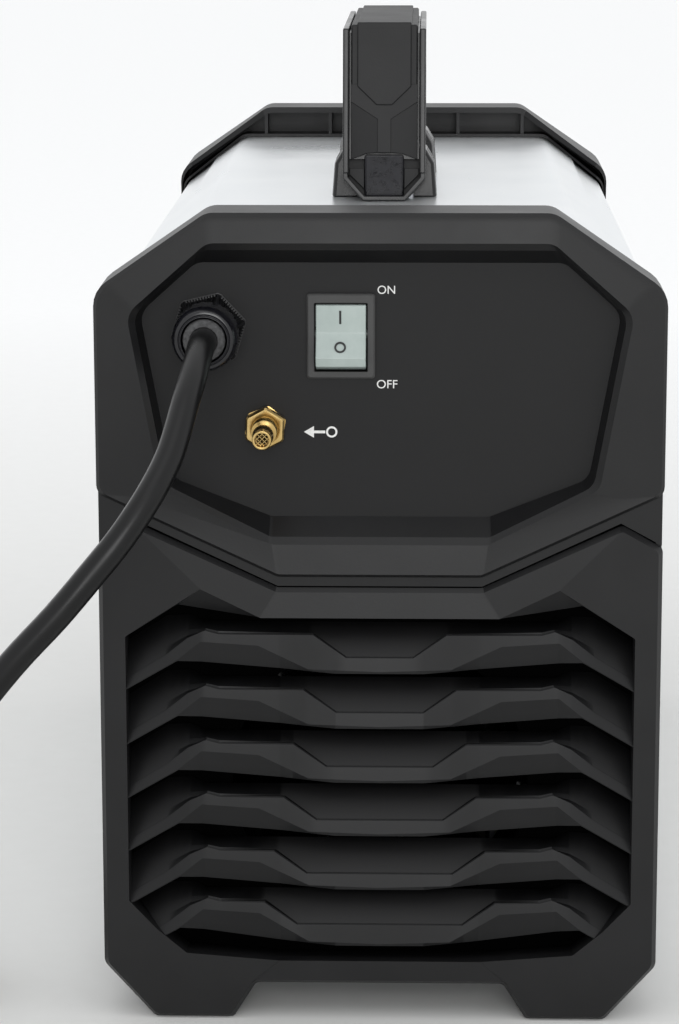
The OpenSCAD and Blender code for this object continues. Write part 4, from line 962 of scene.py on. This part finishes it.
def makeKnob():
    # fluted skirt and dished top
    z = controls["knobZ"]
    rows = [(5.9, 7.9), (6.1, 5.0), (14.6, 5.0), (15, 5.5), (15, 8.4), (14.2, 9.0), (fluted(13.0, 0.9, 18, 3), 9.4),
            (fluted(11.8, 0.9, 18, 3), 20.4), (10.9, 21.6), (10.0, 22.0), (8.8, 21.3), (0.4, 21.1)]
    body = soften(turned("currentKnob", 0, z, [(r, plateY + y) for r, y in rows], 108), 0.2, 2, 35, 45)
    shaft = turned("knobShaft", 0, z, [(3, plateY - 9), (3, plateY + 8), (2.5, plateY + 8.2)], 24)
    return join("currentKnob", [body, shaft])


settle(makeKnob(), "glandNylon", "nylon_black", "current_knob", body="knob")
pointer = slabY("knobPointer", [(-0.5, 237.6), (0.5, 237.6), (0.5, 229), (-0.5, 229)], plateY + 20.9, plateY + 22.05)
settle(soften(pointer, 0.1, 2), "whiteInk", "key_grey", body="knob")


def makeKey(name, x):
    profile = [(0.4, 227.8), (7.8, 227.8), (7.8, 229.6), (6.0, 229.8), (6.0, 233.9), (5.4, 234.5), (4.6, 234.45),
               (3.0, 234.1), (0.4, 233.95)]
    return soften(turned(name, x, controls["knobZ"], profile, 40), 0.15, 2, 30, 45)


settle(makeKey("modeKey", -controls["keyX"]), "keyGrey", "key_grey", "mode_button", body="mode_key")
settle(makeKey("testKey", controls["keyX"]), "keyGrey", "key_grey", "test_button", body="test_key")


def makeWindow():
    # half width, half height, depth and corner radius
    table = [(23.9, 11.9, 222.1, 0.6), (23.9, 11.9, 231.45, 0.6), (25, 13, 231.52, 2.0), (25, 13, 232.4, 2.0),
             (24.3, 12.3, 233.0, 1.6), (22.5, 10.5, 232.7, 1.2)]
    z = controls["windowZ"]
    return soften(skin("displayWindow", [rectangle(-w, w, z - h, z + h, y, r) for w, h, y, r in table]), 0.1, 2, 20)


settle(makeWindow(), "displayTint", "display_red", "display_window")
lamps = [soften(turned("frontLamp", controls["keyX"], controls["windowZ"] + 8 * k,
                       [(0.3, 226), (2.5, 226), (2.5, 231.4), (3.1, 231.55), (3.1, 232.1), (2.4, 232.4),
                        (1.2, 232.5), (0.3, 232.5)], 28), 0.1, 2, 40, 50) for k in (-1, 0, 1)]
settle(join("frontLamps", lamps), "lampLens", "lamp", "front_lamps")


def makeWorkSocket():
    rib = fluted(16.5, 0.5, 30)
    profile = [(19.5, 231.52), (19.5, 234.6), (18.6, 235.5), (16.5, 235.6), (rib, 236.5), (rib, 256), (16.5, 257),
               (16.4, 258.6), (15.4, 259.5), (12.4, 259.5), (11.05, 258.4), (11.05, 231.52)]
    body = turned("workSocket", controls["socketX"], controls["socketZ"], profile, 120, looped=True)
    return soften(body, 0.2, 2, 35, 45)


settle(makeWorkSocket(), "glandNylon", "nylon_black", "work_socket")


def makeBackNut(name, x, z, flats, y0):
    # the nut that holds a fitting from behind the plate
    y1, bore = plateY - 1.6, 8.1
    return skin(name, [hexagon(x, y0, z, flats), hexagon(x, y1, z, flats), circle(x, y1, z, bore, 24),
                       circle(x, y0, z, bore, 24)], looped=True)


def makeTorchConnector():
    x, z = controls["torchX"], controls["socketZ"]
    nut = skin("torchNut", [hexagon(x, 231.52, z, 24), hexagon(x, 238.6, z, 24), hexagon(x, 239.5, z, 22),
                            circle(x, 239.5, z, 8, 24), circle(x, 231.52, z, 8, 24)], looped=True)
    soften(nut, 0.3, 2, 25)
    profile = [(5, 237.6), (5, 253.4), (5.6, 254.5), (7.2, 254.5), (7.6, 254)]
    y = 253.2
    while y > 240.5:
        profile += [(8.0, y), (7.45, y - 0.75)]
        y -= 1.5
    profile += [(8, 239.4), (8, 216), (3, 215.9), (3, 196), (1.8, 196), (1.8, 237.5)]
    stem = soften(turned("torchStem", x, z, profile, 40, looped=True), 0.1, 2, 40, 50)
    return join("torchConnector", [stem, nut, makeBackNut("torchBackNut", x, z, 22, 222)])


settle(makeTorchConnector(), "turnedBrass", "brass", "torch_connector")


def makeTriggerSocket():
    z = controls["socketZ"] + 32
    profile = [(6.5, 233.6), (6.5, 241.2), (7.0, 241.5), (7.7, 241.5), (8.0, 241.1), (8.0, 234.1), (10.1, 234.0),
               (10.5, 233.5), (10.5, 231.52), (8.0, 231.5), (8.0, 216), (0.4, 216), (0.4, 233.5)]
    shell = soften(turned("triggerSocket", 0, z, profile, 40, looped=True), 0.15, 2, 40, 45)
    ring = makeBackNut("triggerNut", 0, z, 19, 227)
    pins = [turned("triggerPin", s * 2.6, z, [(0.8, 233), (0.8, 239.2), (0.4, 239.6)], 16) for s in (-1, 1)]
    return join("triggerSocket", [shell, ring] + pins)


settle(makeTriggerSocket(), "zincPlate", "zinc_steel", "trigger_socket")
frontMarks = [makeText("markAmps", "A", 4, 30, 231.62, 248.5, -1)]
for k in range(9):
    a = math.radians(-130 + 32.5 * k)
    tick = slabY("knobTick", [(-0.3, 18.6), (0.3, 18.6), (0.3, 16.6), (-0.3, 16.6)], plateY + 0.02, plateY + 0.12)
    tick.data.transform(shift(0, 0, controls["knobZ"]) @ Matrix.Rotation(a, 4, "Y"))
    frontMarks.append(tick)
settle(join("frontMarks", frontMarks), "whiteInk", "key_grey")
print("control end")


# ---- stage and light ----

# pale floor with painted light: its colour brightens towards the back
rest()
bpy.ops.mesh.primitive_plane_add(size=40, location=(0, 12, 0))
sheet = bpy.context.object
sheet.name = "floor"
material = bpy.data.materials.new("paleFloor")
material.use_nodes = True
tree = material.node_tree
body = tree.nodes["Principled BSDF"]
place = addNode(tree, "ShaderNodeNewGeometry")
cloud = addNode(tree, "ShaderNodeTexNoise", {"Scale": 90, "Detail": 6}, {"Vector": (place, "Position")})
far = addNode(tree, "ShaderNodeSeparateXYZ", links={"Vector": (place, "Position")})
# painted light: the floor's colour gets paler with distance behind the case
paintedBrightening = addNode(tree, "ShaderNodeMapRange", {"From Min": 0.2, "From Max": 1.6, "To Min": 0.0, "To Max": 0.9},
               {"Value": (far, "Y")})
both = addNode(tree, "ShaderNodeMath", {1: 0.12}, {0: (cloud, "Fac"), 2: (paintedBrightening, "Result")},
               operation="MULTIPLY_ADD")
ramp = addRamp(tree, (both, "Value"), (0, "dbdbd9"), (1, "fbfbfb"))
tree.links.new(ramp.outputs["Color"], body.inputs["Base Color"])
body.inputs["Roughness"].default_value = 0.75
sheet.data.materials.append(material)

for name, place, aim, power in (("topSoft", (0.1, -1.3, 2.3), (0, 0.0, 0.2), 3),
                                ("frontSoft", (0.2, -3.6, 1.25), (0, 0, 0.25), 31)):
    rest()
    bpy.ops.object.light_add(type="AREA", location=place)
    light = bpy.context.object
    light.name = name
    light.data.energy = power
    light.data.size = 1.5
    light.rotation_euler = (Vector(aim) - Vector(place)).to_track_quat("-Z", "Y").to_euler()
world = bpy.data.worlds.new("studio")
bpy.context.scene.world = world
world.use_nodes = True
sky = world.node_tree.nodes["Background"].inputs
sky["Color"].default_value = linear("f8f9fa")
sky["Strength"].default_value = 1.05
bpy.context.scene.view_settings.view_transform = "Standard"
print("stage and light")
